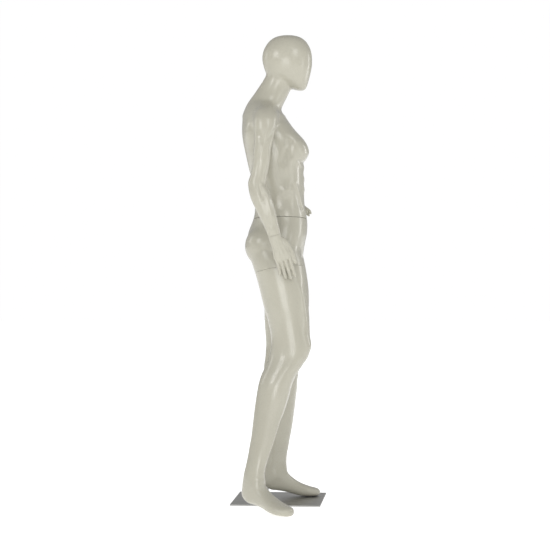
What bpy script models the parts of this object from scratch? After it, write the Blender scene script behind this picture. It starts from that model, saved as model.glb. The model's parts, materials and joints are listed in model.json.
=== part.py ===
"""Full body display mannequin on a square steel base, built as the separate mouldings and fittings it has.

Frame: origin at the centre of the base's resting plane, +Z up. The figure faces +X and its left is +Y.
Tables of sections are in millimetres; everything else is in metres.
"""

import math

import bmesh
import bpy
import numpy as np
from mathutils import Matrix, Vector

# ---------------------------------------------------------------- driving dimensions
MM = 0.001
WALL = 0.0045  # moulded shell
FIT_GAP = 0.0006  # between parts that meet
PLUG_GAP = 0.0038  # between a board's rim and the shell it closes
WRIST_PLUG_GAP = 0.0046
ARM_PLUG_GAP = 0.0050  # the same inside the ends of an arm, where the wall is bent

PLATE_SIDE = 0.350
PLATE_THICK = 0.005
PLATE_TURN = math.radians(-5.5)  # the square plate against the way the figure faces
PAD_THICK = 0.0015
PAD_RADIUS = 0.012
PAD_INSET = 0.022

SPIGOT_X, SPIGOT_Y = -0.047, 0.010
SPIGOT_RADIUS = 0.006
SPIGOT_TOP = 0.112
SOCKET_WALL = 0.002
HEEL_UNDERSIDE = 0.045

CENTRE_Y = -0.085  # the figure's middle plane at the shoulders
HIP_Y = -0.080
WAIST_Z = 1.108  # waist seam at the middle plane
WAIST_ROLL = math.radians(5.0)  # its right side is higher
THIGH_SEAM = Vector((0.002, -0.178, 0.912))
THIGH_TILT_SIDE = math.radians(10.0)
THIGH_TILT_FRONT = math.radians(9.0)

VOXEL = 0.006  # of the blended mouldings, before they are thinned out
ARM_VOXEL, HAND_VOXEL, HOLLOW_VOXEL = 0.004, 0.0025, 0.008
BLEND_ROUNDS, HAND_ROUNDS = 10, 4

# ---------------------------------------------------------------- sections
# Level rings: height, back x, front x, half width, middle y, squareness.
WAIST = [
    (1050, -121, 108, 152, -80, 2.2),
    (1080, -111, 110, 138, -81, 2.15),
    (1105, -101, 109, 125, -82, 2.15),
    (1130, -96, 105, 116, -83, 2.15),
    (1165, -94, 99, 110, -84, 2.15),
]
TORSO = WAIST + [
    (1205, -93, 97, 111, -85, 2.2),
    (1250, -101, 96, 118, -85, 2.2),
    (1295, -113, 94, 124, -85, 2.25),
    (1335, -122, 90, 127, -85, 2.3),
    (1375, -132, 85, 128, -85, 2.3),
    (1410, -140, 75, 128, -85, 2.3),
    (1440, -144, 61, 125, -85, 2.3),
    (1470, -144, 46, 119, -85, 2.2),
    (1495, -142, 31, 109, -85, 2.2),
    (1518, -137, 15, 94, -85, 2.1),
    (1538, -128, 4, 74, -85, 2.0),
]
HEAD = [
    (1605, 76, 94, 10, -85, 2.0),
    (1610, 58, 102, 28, -85, 2.1),
    (1626, 22, 109, 46, -85, 2.1),
    (1641, -8, 114, 57, -85, 2.1),
    (1657, -33, 118, 65, -85, 2.1),
    (1672, -49, 122, 70, -85, 2.1),
    (1688, -57, 125, 74, -85, 2.1),
    (1703, -61, 128, 76, -85, 2.1),
    (1719, -65, 128, 77, -85, 2.1),
    (1735, -66, 128, 76, -85, 2.1),
    (1750, -64, 126, 74, -85, 2.1),
    (1766, -59, 122, 70, -85, 2.1),
    (1781, -51, 115, 64, -85, 2.05),
    (1797, -39, 104, 55, -85, 2.0),
    (1810, -22, 88, 42, -85, 2.0),
    (1818, 0, 67, 25, -85, 2.0),
    (1821, 20, 47, 10, -85, 2.0),
]
PELVIS = WAIST[::-1] + [
    (1022, -124, 102, 162, -80, 2.2),
    (990, -122, 96, 167, -80, 2.2),
    (962, -112, 92, 166, -80, 2.2),
    (938, -94, 84, 150, -80, 2.1),
    (916, -72, 70, 118, -80, 2.0),
    (900, -48, 50, 70, -80, 2.0),
    (893, -20, 24, 25, -80, 2.0),
]
# Ring tables of the limbs: x, y, z, front, back, side, squareness, yaw and pitch in degrees.
# Pitch 0 is a level ring, pitch 90 one that stands across the foot.
LEFT_LEG = [
    (-6, 3, 1030, 72, 96, 60, 2.1, 0, 0),
    (-4, 4, 990, 92, 114, 80, 2.1, 0, 0),
    (2, 4, 950, 96, 108, 86, 2.1, 0, 0),
    (12, 4, 905, 95, 101, 84, 2.1, 0, 0),
    (22, 4, 855, 92, 93, 81, 2.1, 0, 0),
    (28, 5, 800, 90, 90, 78, 2.1, 0, 0),
    (29, 6, 745, 87, 87, 73, 2.1, 0, 0),
    (25, 8, 695, 80, 82, 66, 2.1, 0, 0),
    (19, 10, 650, 72, 73, 58, 2.1, 3, 0),
    (14, 12, 610, 68, 66, 54, 2.1, 5, 0),
    (11, 13, 570, 65, 67, 52, 2.1, 7, 0),
    (8, 14, 520, 68, 69, 55, 2.1, 9, 0),
    (8, 15, 470, 65, 66, 55, 2.1, 10, 0),
    (8, 16, 415, 59, 60, 50, 2.1, 12, 0),
    (8, 17, 350, 51, 52, 42, 2.1, 13, 0),
    (3, 18, 285, 47, 46, 36, 2.1, 14, 0),
    (-4, 19, 225, 43, 43, 32, 2.1, 15, 0),
    (-10, 20, 170, 42, 43, 31, 2.1, 16, 0),
]
RIGHT_LEG = [
    (-16, -164, 1030, 74, 92, 58, 2.1, 0, 0),
    (-12, -166, 990, 90, 108, 78, 2.1, 0, 0),
    (-6, -171, 955, 95, 104, 85, 2.1, 0, 0),
    (-1, -176, 925, 96, 99, 86, 2.1, 0, 0),
    (10, -186, 870, 92, 93, 83, 2.1, 0, 0),
    (19, -195, 820, 90, 89, 80, 2.1, -3, 0),
    (26, -204, 775, 86, 85, 76, 2.1, -6, 0),
    (36, -215, 715, 80, 78, 68, 2.1, -9, 0),
    (42, -228, 662, 76, 74, 60, 2.1, -12, 0),
    (43, -238, 622, 78, 75, 56, 2.1, -14, 0),
    (36, -245, 590, 75, 74, 54, 2.1, -16, 0),
    (18, -255, 551, 70, 70, 54, 2.1, -19, 0),
    (1, -262, 518, 65, 69, 55, 2.1, -21, 0),
    (-14, -269, 479, 63, 66, 56, 2.1, -23, 0),
    (-24, -274, 440, 63, 63, 54, 2.1, -25, 0),
    (-36, -280, 390, 60, 59, 49, 2.1, -27, 0),
    (-50, -288, 334, 52, 52, 42, 2.1, -30, 0),
    (-62, -295, 278, 47, 47, 36, 2.1, -33, 0),
    (-79, -304, 210, 40, 41, 32, 2.1, -36, 0),
    (-90, -310, 165, 40, 40, 31, 2.1, -38, 0),
]
# The foot from under the ankle to the toes: forward, up, front, back, side, squareness, pitch.
FOOT = [
    (2, 140, 42, 46, 31, 2.1, 8),
    (4, 118, 42, 59, 33, 2.1, 22),
    (10, 98, 42, 76, 34, 2.1, 35),
    (20, 84, 34, 69, 33, 2.1, 45),
    (38, 74, 25, 55, 33, 2.1, 55),
    (68, 56, 19, 41, 35, 2.2, 62),
    (98, 37, 20, 31, 41, 2.3, 68),
    (126, 23, 23, 21, 43, 2.4, 78),
    (150, 18, 20, 16.5, 39, 2.5, 88),
    (168, 16.5, 18, 15, 31, 2.5, 90),
    (178, 15.5, 14, 12, 21, 2.3, 90),
    (184, 15, 6, 5, 9, 2.0, 90),
]
LEFT_FOOT_YAW, RIGHT_FOOT_YAW = 17, -40
LEFT_ANKLE, RIGHT_ANKLE = (-12, 20, 5.8), (-95, -310, 0.6)
# Swept tables: x, y, z, front, back, side, squareness; the rings follow the path.
NECK = [
    (-88, -85, 1480, 60, 62, 100, 2.0),
    (-70, -85, 1520, 60, 64, 86, 2.0),
    (-50, -85, 1553, 60, 62, 69, 2.0),
    (-33, -85, 1583, 58, 59, 57, 2.0),
    (-16, -85, 1612, 56, 57, 52, 2.0),
    (0, -85, 1640, 52, 57, 52, 2.0),
    (14, -85, 1668, 44, 56, 54, 2.0),
]
YOKE = [
    (-50, -234, 1487, 48, 49, 49, 2.1),
    (-50, -216, 1490, 48, 50, 50, 2.1),
    (-53, -190, 1491, 53, 55, 57, 2.1),
    (-57, -165, 1491, 60, 63, 67, 2.1),
    (-61, -140, 1491, 65, 70, 79, 2.1),
    (-64, -115, 1491, 67, 73, 90, 2.1),
    (-65, -85, 1489, 68, 74, 97, 2.1),
    (-64, -55, 1487, 67, 73, 90, 2.1),
    (-61, -30, 1485, 65, 70, 79, 2.1),
    (-57, -5, 1484, 60, 63, 67, 2.1),
    (-53, 20, 1483, 53, 55, 57, 2.1),
    (-50, 46, 1482, 48, 50, 50, 2.1),
    (-50, 64, 1479, 48, 49, 49, 2.1),
]
RIGHT_ARM = [
    (-50, -216, 1490, 48, 50, 50, 2.1),
    (-51, -234, 1487, 48, 49, 49, 2.1),
    (-53, -250, 1475, 46, 47, 46, 2.1),
    (-55, -262, 1450, 41, 43, 41, 2.1),
    (-58, -269, 1418, 37, 37, 37, 2.1),
    (-63, -275, 1370, 32, 33, 34, 2.1),
    (-69, -282, 1315, 30, 30, 31, 2.1),
    (-78, -288, 1268, 31, 31, 30, 2.1),
    (-82, -293, 1238, 33, 34, 31, 2.1),
    (-74, -297, 1203, 37, 37, 32, 2.1),
    (-58, -301, 1163, 36, 36, 30, 2.1),
    (-43, -304, 1123, 32, 32, 27, 2.1),
    (-29, -304, 1082, 27, 27, 22, 2.1),
    (-18, -303, 1046, 24, 24, 19, 2.1),
]
LEFT_UPPER_ARM = [
    (-50, 46, 1482, 48, 50, 50, 2.1),
    (-50, 64, 1479, 48, 49, 49, 2.1),
    (-52, 82, 1466, 46, 47, 46, 2.1),
    (-56, 101, 1443, 41, 42, 42, 2.1),
    (-61, 127, 1412, 35, 35, 36, 2.1),
    (-67, 171, 1368, 32, 32, 33, 2.1),
    (-74, 219, 1321, 31, 31, 31, 2.1),
    (-78, 248, 1292, 33, 33, 32, 2.1),
    (-79, 262, 1278, 29, 29, 28, 2.0),
    (-79, 271, 1269, 19, 19, 18, 2.0),
    (-79, 275, 1265, 6, 6, 6, 2.0),
]
LEFT_FOREARM = [
    (-80, 284, 1272, 6, 6, 6, 2.0),
    (-80, 279, 1271, 20, 20, 18, 2.0),
    (-79, 269, 1269, 30, 30, 28, 2.0),
    (-76, 253, 1264, 36, 35, 32, 2.1),
    (-67, 218, 1251, 37, 36, 32, 2.1),
    (-54, 174, 1235, 33, 33, 29, 2.1),
    (-37, 132, 1216, 28, 28, 24, 2.1),
    (-24, 96, 1203, 24, 24, 19, 2.1),
]
# Rows that carry a limb on past the seam it is cut at.
LEFT_WRIST_PAST = (-11, 60, 1190, 24, 24, 19, 2.1)
RIGHT_WRIST_PAST = (-7, -302, 1010, 24, 24, 19, 2.1)
LEFT_ROOT_PAST = (-50, 25, 1482, 48, 50, 50, 2.1)
RIGHT_ROOT_PAST = (-50, -195, 1490, 48, 50, 50, 2.1)
# Points round a ring, and triangles left in each blended mesh.
LEG_RING, BODY_RING, ARM_RING, SLIM_RING = 28, 40, 20, 16
BODY_TRIANGLES, ARM_TRIANGLES, HAND_TRIANGLES = 2300, 900, 700
HOLLOW_TRIANGLES, ARM_HOLLOW_TRIANGLES = 500, 300

SEAT_X, SEAT_Z, SEAT_OUT = -0.052, 1.004, 0.076  # the rounds of the seat
SEAT_SIZE = Vector((0.080, 0.082, 0.082))

# Shallow rises and hollows on the chest: y, z, half width, reach up, reach down, height.
CHEST_RISES = [
    (-85 - 68, 1371, 56, 78, 42, 40),
    (-85 + 68, 1371, 56, 78, 42, 40),
]


# ---------------------------------------------------------------- scene and materials
def clear_scene():
    for thing in list(bpy.data.objects):
        bpy.data.objects.remove(thing, do_unlink=True)


def new_collection(name):
    made = bpy.data.collections.new(name)
    bpy.context.scene.collection.children.link(made)
    return made


def material(name, colour, roughness, metallic=0.0):
    made = bpy.data.materials.new(name)
    made.use_nodes = True
    shader = made.node_tree.nodes["Principled BSDF"]
    shader.inputs["Base Color"].default_value = (*colour, 1.0)
    shader.inputs["Roughness"].default_value = roughness
    shader.inputs["Metallic"].default_value = metallic
    return made


clear_scene()
PARTS = new_collection("full_body_mannequin")
CUTTERS = new_collection("cutters")
CUTTERS.hide_render = True

BODY_COLOUR = (0.60, 0.575, 0.50)
FINISH = {
    "body": (BODY_COLOUR, 0.22, 0.0),
    "steel": ((0.42, 0.42, 0.41), 0.30, 1.0),
    "zinc": ((0.60, 0.60, 0.58), 0.35, 1.0),
    "board": ((0.55, 0.55, 0.53), 0.55, 0.0),
    "rubber": ((0.03, 0.03, 0.03), 0.80, 0.0),
}


def add_object(name, mesh, finish=None, collection=None):
    made = bpy.data.objects.new(name, mesh)
    (collection or PARTS).objects.link(made)
    if finish:
        made.data.materials.clear()
        made.data.materials.append(material(name, *FINISH[finish]))
    if collection is CUTTERS:
        made.hide_render = True
        made.display_type = "WIRE"
    return made


def shade(thing, angle=40.0):
    thing.data.shade_smooth()
    thing.data.set_sharp_from_angle(angle=math.radians(angle))


# ---------------------------------------------------------------- lofts
def spaced(table, count):
    """The table's rows run through a smooth curve and sampled again at even steps of it."""
    rows = np.array(table, float)
    steps = np.linalg.norm(np.diff(rows[:, :6], axis=0), axis=1)
    at = np.concatenate([[0.0], np.cumsum(steps)])
    slope = np.gradient(rows, at, axis=0)
    want = np.linspace(0.0, at[-1], count)
    low = np.clip(np.searchsorted(at, want, side="right") - 1, 0, len(at) - 2)
    span = (at[low + 1] - at[low])[:, None]
    t = (want[:, None] - at[low][:, None]) / span
    return (
        (2 * t**3 - 3 * t**2 + 1) * rows[low]
        + (t**3 - 2 * t**2 + t) * span * slope[low]
        + (3 * t**2 - 2 * t**3) * rows[low + 1]
        + (t**3 - t**2) * span * slope[low + 1]
    )


def ring_shape(front, back, side, power, around):
    """Points of a superellipse whose front and back halves have depths of their own."""
    turn = np.linspace(0.0, 2 * math.pi, around, endpoint=False)
    c, s = np.cos(turn), np.sin(turn)
    ahead = np.sign(c) * np.abs(c) ** (2 / power) * np.where(c > 0, front, back)
    across = np.sign(s) * np.abs(s) ** (2 / power) * side
    return ahead, across


def loft_mesh(name, rings):
    """One closed body through the rings, each (points, normal); the ends are closed with fans."""
    around = len(rings[0])
    points = np.concatenate([ring for ring in rings] + [[rings[0].mean(0)], [rings[-1].mean(0)]])
    first, last = len(points) - 2, len(points) - 1
    faces = []
    for i in range(len(rings) - 1):
        for k in range(around):
            j = (k + 1) % around
            a, b = i * around, (i + 1) * around
            faces.append((a + k, a + j, b + j, b + k))
    end = (len(rings) - 1) * around
    for k in range(around):
        j = (k + 1) % around
        faces.append((first, j, k))
        faces.append((last, end + k, end + j))
    mesh = bpy.data.meshes.new(name)
    mesh.from_pydata(points.tolist(), [], faces)
    work = bmesh.new()
    work.from_mesh(mesh)
    bmesh.ops.recalc_face_normals(work, faces=work.faces)
    if work.calc_volume(signed=True) < 0:
        bmesh.ops.reverse_faces(work, faces=work.faces)
    work.to_mesh(mesh)
    work.free()
    return mesh


def level_rings(table, count, around, inset=0.0, rises=()):
    rings = []
    for z, back, front, side, middle, power in spaced(table, count):
        half = (front - back) / 2 - inset / MM
        ahead, across = ring_shape(half, half, side - inset / MM, power, around)
        ring = np.stack([ahead + (front + back) / 2, across + middle, np.full(around, z)], axis=1)
        for y0, z0, wide, up, down, height in rises:
            reach = up if z > z0 else down
            near = ((ring[:, 1] - y0) / wide) ** 2 + ((z - z0) / reach) ** 2
            faces_front = np.clip(ahead / half, 0.0, 1.0)
            ring[:, 0] += height * np.exp(-(near**1.25)) * faces_front
        rings.append(ring * MM)
    return rings


def placed_rings(table, count, around, inset=0.0):
    """Rings with their own yaw and pitch."""
    rings = []
    for x, y, z, front, back, side, power, yaw, pitch in spaced(table, count):
        ahead, across = ring_shape(*[v - inset / MM for v in (front, back, side)], power, around)
        yaw, pitch = math.radians(yaw), math.radians(pitch)
        forward = np.array(
            [math.cos(pitch) * math.cos(yaw), math.cos(pitch) * math.sin(yaw), math.sin(pitch)]
        )
        sideways = np.array([-math.sin(yaw), math.cos(yaw), 0.0])
        ring = np.array([x, y, z]) + np.outer(ahead, forward) + np.outer(across, sideways)
        rings.append(ring * MM)
    return rings


def swept_rings(table, count, around, inset=0.0):
    """Rings square to the path, their front kept towards +X."""
    rows = spaced(table, count)
    along = np.gradient(rows[:, :3], axis=0)
    along /= np.linalg.norm(along, axis=1)[:, None]
    rings = []
    for row, ahead_of in zip(rows, along):
        forward = np.array([1.0, 0.0, 0.0])
        forward -= ahead_of * forward.dot(ahead_of)
        forward /= np.linalg.norm(forward)
        sideways = np.cross(ahead_of, forward)
        front, back, side = row[3:6] - inset / MM
        ahead, across = ring_shape(front, back, side, row[6], around)
        rings.append((row[:3] + np.outer(ahead, forward) + np.outer(across, sideways)) * MM)
    return rings


def leg_table(leg, ankle, foot_yaw):
    """The leg's rings carried on into its foot."""
    yaw = math.radians(foot_yaw)
    rows = list(leg)
    for forward, up, front, back, side, power, pitch in FOOT:
        rows.append(
            (
                ankle[0] + forward * math.cos(yaw),
                ankle[1] + forward * math.sin(yaw),
                ankle[2] + up,
                front, back, side, power, foot_yaw, pitch,
            )
        )
    return rows


# ---------------------------------------------------------------- solids from lofts
def evaluated_mesh(thing):
    bpy.context.view_layer.update()
    graph = bpy.context.evaluated_depsgraph_get()
    return bpy.data.meshes.new_from_object(thing.evaluated_get(graph))


def joined(name, meshes):
    """Several closed meshes as one mesh, not yet united."""
    work = bmesh.new()
    for mesh in meshes:
        work.from_mesh(mesh)
    made = bpy.data.meshes.new(name)
    work.to_mesh(made)
    work.free()
    return made


def blended(name, meshes, voxel, rounds, triangles):
    """The meshes as one skin whose inner corners are softened, thinned to about so many triangles."""
    thing = add_object(name, joined(name, meshes), collection=CUTTERS)
    remesh = thing.modifiers.new("blend", "REMESH")
    remesh.mode = "VOXEL"
    remesh.voxel_size = voxel
    smooth = thing.modifiers.new("soften", "SMOOTH")
    smooth.factor = 0.5
    smooth.iterations = rounds
    full = evaluated_mesh(thing)
    thin = thing.modifiers.new("thin", "DECIMATE")
    thin.ratio = min(1.0, triangles / (2 * len(full.polygons)))
    made = evaluated_mesh(thing)
    bpy.data.objects.remove(thing, do_unlink=True)
    return made


def cutter(name, mesh, matrix=None):
    made = add_object(name, mesh, collection=CUTTERS)
    if matrix is not None:
        made.matrix_world = matrix
    return made


def boolean(thing, other, operation="DIFFERENCE"):
    modifier = thing.modifiers.new(other.name, "BOOLEAN")
    modifier.operation = operation
    modifier.solver = "EXACT"
    modifier.object = other


def box_mesh(name, low, high):
    work = bmesh.new()
    bmesh.ops.create_cube(work, size=1.0)
    low, high = Vector(low), Vector(high)
    for vertex in work.verts:
        vertex.co = [
            (low[i] + high[i]) / 2 + vertex.co[i] * (high[i] - low[i]) for i in range(3)
        ]
    made = bpy.data.meshes.new(name)
    work.to_mesh(made)
    work.free()
    return made


def rod_mesh(name, radius, low, high, sides=20, top_radius=None):
    work = bmesh.new()
    top = radius if top_radius is None else top_radius
    bmesh.ops.create_cone(
        work, cap_ends=True, segments=sides, radius1=radius, radius2=top, depth=high - low
    )
    bmesh.ops.translate(work, verts=work.verts, vec=(0, 0, (low + high) / 2))
    made = bpy.data.meshes.new(name)
    work.to_mesh(made)
    work.free()
    return made


def turned(name, profile, matrix, finish, steps=20):
    """A turned piece: the profile, (radius, height) from top to bottom, swept round +Z."""
    mesh = bpy.data.meshes.new(name)
    points = [(r, 0.0, h) for r, h in profile]
    mesh.from_pydata(points, [(i, i + 1) for i in range(len(points) - 1)], [])
    made = add_object(name, mesh, finish)
    made.matrix_world = matrix
    screw = made.modifiers.new("turn", "SCREW")
    screw.steps = screw.render_steps = steps
    screw.use_merge_vertices = True
    screw.merge_threshold = 1e-5
    return made


def at(point, normal=(0, 0, 1)):
    """A frame at the point whose +Z runs along the normal."""
    turn = Vector(normal).to_track_quat("Z", "Y").to_matrix().to_4x4()
    return Matrix.Translation(Vector(point)) @ turn


# ---------------------------------------------------------------- seams
def plane_frame(point, tilt_x, tilt_y):
    """A frame at the point, +Z up, tilted about X and then about Y."""
    turn = Matrix.Rotation(tilt_y, 4, "Y") @ Matrix.Rotation(tilt_x, 4, "X")
    return Matrix.Translation(Vector(point)) @ turn


WAIST_SEAM = plane_frame((0.004, CENTRE_Y, WAIST_Z), -WAIST_ROLL, 0.0)
THIGH_SEAM_FRAME = plane_frame(THIGH_SEAM, -THIGH_TILT_SIDE, -THIGH_TILT_FRONT)
SHOULDER_R = at((-0.050, -0.216, 1.490), (0, -1, 0))
SHOULDER_L = at((-0.050, 0.046, 1.482), (0, 1, 0))


def path_end(table):
    """Where a swept table ends and the way it is heading there."""
    last, before = Vector(table[-1][:3]), Vector(table[-2][:3])
    return last * MM, (last - before).normalized()


WRIST_R = at(*path_end(RIGHT_ARM))
WRIST_L = at(*path_end(LEFT_FOREARM))
BIG = 0.6  # longer than any moulding is across
# What is cut from the lower body for the loose leg, in the thigh seam's frame.
STUMP_BOX = (-0.2, -0.2, -0.15), (0.2, 0.087, FIT_GAP / 2)


def beyond(name, frame, side):
    """A cutter that takes away all that lies on one side of a seam, up to its gap."""
    near = FIT_GAP / 2
    low, high = (-near, BIG) if side > 0 else (-BIG, near)
    return cutter(name, box_mesh(name, (-BIG, -BIG, low), (BIG, BIG, high)), frame)


# ---------------------------------------------------------------- mouldings
def torso_meshes(inset=0.0):
    return [
        loft_mesh("chest", level_rings(TORSO, 34, BODY_RING, inset, CHEST_RISES)),
        loft_mesh("neck", swept_rings(NECK, 12, BODY_RING, inset)),
        loft_mesh("head", level_rings(HEAD, 24, BODY_RING, inset)),
        loft_mesh("yoke", swept_rings(YOKE, 24, BODY_RING, inset)),
    ]


def seat_mesh(name, y, inset=0.0):
    """One round of the seat."""
    work = bmesh.new()
    bmesh.ops.create_uvsphere(work, u_segments=24, v_segments=16, radius=1.0)
    size = SEAT_SIZE - Vector((inset, inset, inset))
    for vertex in work.verts:
        vertex.co = Vector((SEAT_X, y, SEAT_Z)) + Vector(
            (vertex.co.x * size.x, vertex.co.y * size.y, vertex.co.z * size.z)
        )
    made = bpy.data.meshes.new(name)
    work.to_mesh(made)
    work.free()
    return made


def lower_meshes(inset=0.0):
    left = leg_table(LEFT_LEG, LEFT_ANKLE, LEFT_FOOT_YAW)
    stump = [row for row in RIGHT_LEG if row[2] > 860]
    if inset:
        left = LEFT_LEG
    return [
        loft_mesh("pelvis", level_rings(PELVIS, 24, BODY_RING, inset)),
        loft_mesh("left_leg", placed_rings(left, 48, LEG_RING, inset)),
        loft_mesh("stump", placed_rings(stump, 12, LEG_RING, inset)),
        seat_mesh("seat_left", HIP_Y + SEAT_OUT, inset),
        seat_mesh("seat_right", HIP_Y - SEAT_OUT, inset),
    ]


def hollow(thing, meshes, triangles=HOLLOW_TRIANGLES):
    """Takes the space inside the wall out of a moulding."""
    inside = blended(f"{thing.name}_inside", meshes, HOLLOW_VOXEL, 1, triangles)
    boolean(thing, cutter(f"{thing.name}_hollow", inside))


def make_torso():
    skin = blended("torso_skin", torso_meshes(), VOXEL, BLEND_ROUNDS, BODY_TRIANGLES)
    thing = add_object("torso_shell", skin, "body")
    boolean(thing, beyond("torso_cut_waist", WAIST_SEAM, -1))
    boolean(thing, beyond("torso_cut_right", SHOULDER_R, 1))
    boolean(thing, beyond("torso_cut_left", SHOULDER_L, 1))
    hollow(thing, torso_meshes(WALL))
    return thing


def make_lower_body():
    skin = blended("lower_skin", lower_meshes(), VOXEL, BLEND_ROUNDS, BODY_TRIANGLES)
    thing = add_object("lower_body_shell", skin, "body")
    boolean(thing, beyond("lower_cut_waist", WAIST_SEAM, 1))
    boolean(thing, cutter("lower_cut_thigh", box_mesh("thigh_box", *STUMP_BOX), THIGH_SEAM_FRAME))
    hollow(thing, lower_meshes(WALL))
    return thing


def make_right_leg():
    leg = leg_table(RIGHT_LEG, RIGHT_ANKLE, RIGHT_FOOT_YAW)
    skin = loft_mesh("right_leg", placed_rings(leg, 36, 22))
    thing = add_object("right_leg_shell", skin, "body")
    boolean(thing, beyond("leg_cut_thigh", THIGH_SEAM_FRAME, 1))
    hollow(thing, [loft_mesh("leg", placed_rings(RIGHT_LEG, 20, ARM_RING, WALL))])
    return thing


def make_right_arm():
    rows = [RIGHT_ROOT_PAST] + RIGHT_ARM + [RIGHT_WRIST_PAST]
    skin = loft_mesh("right_arm", swept_rings(rows, 27, 18))
    thing = add_object("right_arm_shell", skin, "body")
    boolean(thing, beyond("arm_cut_right", SHOULDER_R, -1))
    boolean(thing, beyond("arm_cut_right_wrist", WRIST_R, 1))
    inside = loft_mesh("arm", swept_rings(rows, 20, SLIM_RING, WALL))
    hollow(thing, [inside], ARM_HOLLOW_TRIANGLES)
    return thing


def make_left_arm():
    both = [
        loft_mesh("upper", swept_rings([LEFT_ROOT_PAST] + LEFT_UPPER_ARM, 26, ARM_RING)),
        loft_mesh("fore", swept_rings(LEFT_FOREARM + [LEFT_WRIST_PAST], 20, ARM_RING)),
    ]
    skin = blended("left_arm_skin", both, ARM_VOXEL, BLEND_ROUNDS, ARM_TRIANGLES)
    thing = add_object("left_arm_shell", skin, "body")
    boolean(thing, beyond("arm_cut_left", SHOULDER_L, -1))
    boolean(thing, beyond("arm_cut_left_wrist", WRIST_L, 1))
    upper, fore = [LEFT_ROOT_PAST] + LEFT_UPPER_ARM[:-2], LEFT_FOREARM[2:] + [LEFT_WRIST_PAST]
    inside = [
        loft_mesh("upper", swept_rings(upper, 18, SLIM_RING, WALL)),
        loft_mesh("fore", swept_rings(fore, 14, SLIM_RING, WALL)),
    ]
    hollow(thing, inside, ARM_HOLLOW_TRIANGLES)
    return thing


# ---------------------------------------------------------------- hands
# Along the hand from the wrist: towards the thumb, towards the back, along, half width, half thickness.
PALM = [
    (0, 0, -14, 24, 19),
    (0, 0, 0, 24, 19),
    (0, 0, 16, 25, 17.5),
    (3, -1, 38, 28, 15.5),
    (4, -2, 62, 32, 13.5),
    (4, -2, 84, 34, 11.5),
    (3, -3, 96, 31, 9),
    (3, -3, 103, 24, 5),
]
# Each finger: its root across the hand and along it, its length, its radius, its lean towards the thumb.
FINGERS = [
    (27, 84, 92, 7.7, -1.0),
    (11, 88, 92, 7.9, -2.0),
    (-5, 86, 88, 7.6, -3.0),
    (-19, 80, 74, 6.9, -4.0),
]
FINGER_SHARES = (0.0, 0.16, 0.42, 0.50, 0.68, 0.76, 0.92, 1.0)
FINGER_WIDTHS = (0.98, 1.0, 0.94, 0.98, 0.90, 0.92, 0.74, 0.3)
KNUCKLE_SHARES = (0.16, 0.50, 0.76)
FINGER_ROOT = 18.0  # of each finger lies inside the palm
# The thumb's path, with its radius.
THUMB = [
    (18, -2, 20, 13),
    (32, -6, 44, 12),
    (39, -9, 70, 10.5),
    (41, -11, 96, 10),
    (41, -12, 119, 8),
    (40, -12, 128, 3),
]
PRESS_HOLE, PRESS_DEPTH = 0.0048, 0.022  # the hole in a hand for its peg


def tube_rows(points):
    return [(x, y, z, r, r, r, 2.0) for x, y, z, r in points]


def finger_rows(root, along, length, radius, lean, curl):
    """A finger's path, bending towards the palm by curl degrees at each of its joints."""
    points = []
    x, y, z, bend, last = root, -3.0, along - FINGER_ROOT, 0.0, 0.0
    for share, width in zip(FINGER_SHARES, FINGER_WIDTHS):
        step = (share - last) * length + (FINGER_ROOT if share == FINGER_SHARES[1] else 0.0)
        x += step * math.sin(math.radians(lean))
        y -= step * math.sin(math.radians(bend))
        z += step * math.cos(math.radians(bend))
        points.append((x, y, z, radius * width))
        if share in KNUCKLE_SHARES:
            bend += curl
        last = share
    return tube_rows(points)


def hand_mesh(name, curls, mirror, frame):
    """Local frame: +Z to the fingertips, +Y out of the back of the hand, the thumb at +X unless mirrored."""
    palm = [(x, y, z, wide, wide, thick, 2.3) for x, y, z, wide, thick in PALM]
    meshes = [loft_mesh("palm", swept_rings(palm, 16, 24))]
    meshes.append(loft_mesh("thumb", swept_rings(tube_rows(THUMB), 12, 12)))
    for finger, curl in zip(FINGERS, curls):
        meshes.append(loft_mesh("finger", swept_rings(finger_rows(*finger, curl), 16, 12)))
    for mesh in meshes:
        if mirror:
            mesh.transform(Matrix.Scale(-1, 4, (1, 0, 0)))
            mesh.flip_normals()
    made = blended(name, meshes, HAND_VOXEL, HAND_ROUNDS, HAND_TRIANGLES)
    made.transform(frame)
    return made


def hand_frame(wrist, fingers, thumb):
    """The frame of a hand at the wrist, from the ways its fingers and its thumb side point."""
    along = Vector(fingers).normalized()
    back = along.cross(Vector(thumb)).normalized()
    across = back.cross(along)
    turn = Matrix((across, back, along)).transposed().to_4x4()
    return Matrix.Translation(wrist) @ turn


RIGHT_HAND_FRAME = hand_frame(WRIST_R.to_translation(), (0.317, 0.0, -0.948), (0.948, 0.0, 0.317))
LEFT_HAND_FRAME = hand_frame(WRIST_L.to_translation(), (0.90, -0.22, -0.31), (-0.18, 0.90, -0.36))


def make_hand(name, frame, mirror, curls, wrist):
    thing = add_object(name, hand_mesh(name, curls, mirror, frame), "body")
    boolean(thing, beyond(f"{name}_cut", wrist, -1))
    hole = rod_mesh("hole", PRESS_HOLE, -0.01, PRESS_DEPTH, 12)
    boolean(thing, cutter(f"{name}_peg_hole", hole, wrist))
    return thing


# ---------------------------------------------------------------- joint fittings
BOARD = 0.004
BOARD_BACK = 0.0002  # a board stands this much further in than its moulding's rim
CATCH = 0.0025
FLANGE = 0.003
WING_THICK = 0.003
GAP = 0.0003
SHANK_PLAY, EYE_PLAY, WING_PLAY = 0.0006, 0.0008, 0.0015
THROUGH = 0.030  # half the length of a cutter that goes through every board
SCREW_HOLE = 0.0020


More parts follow.
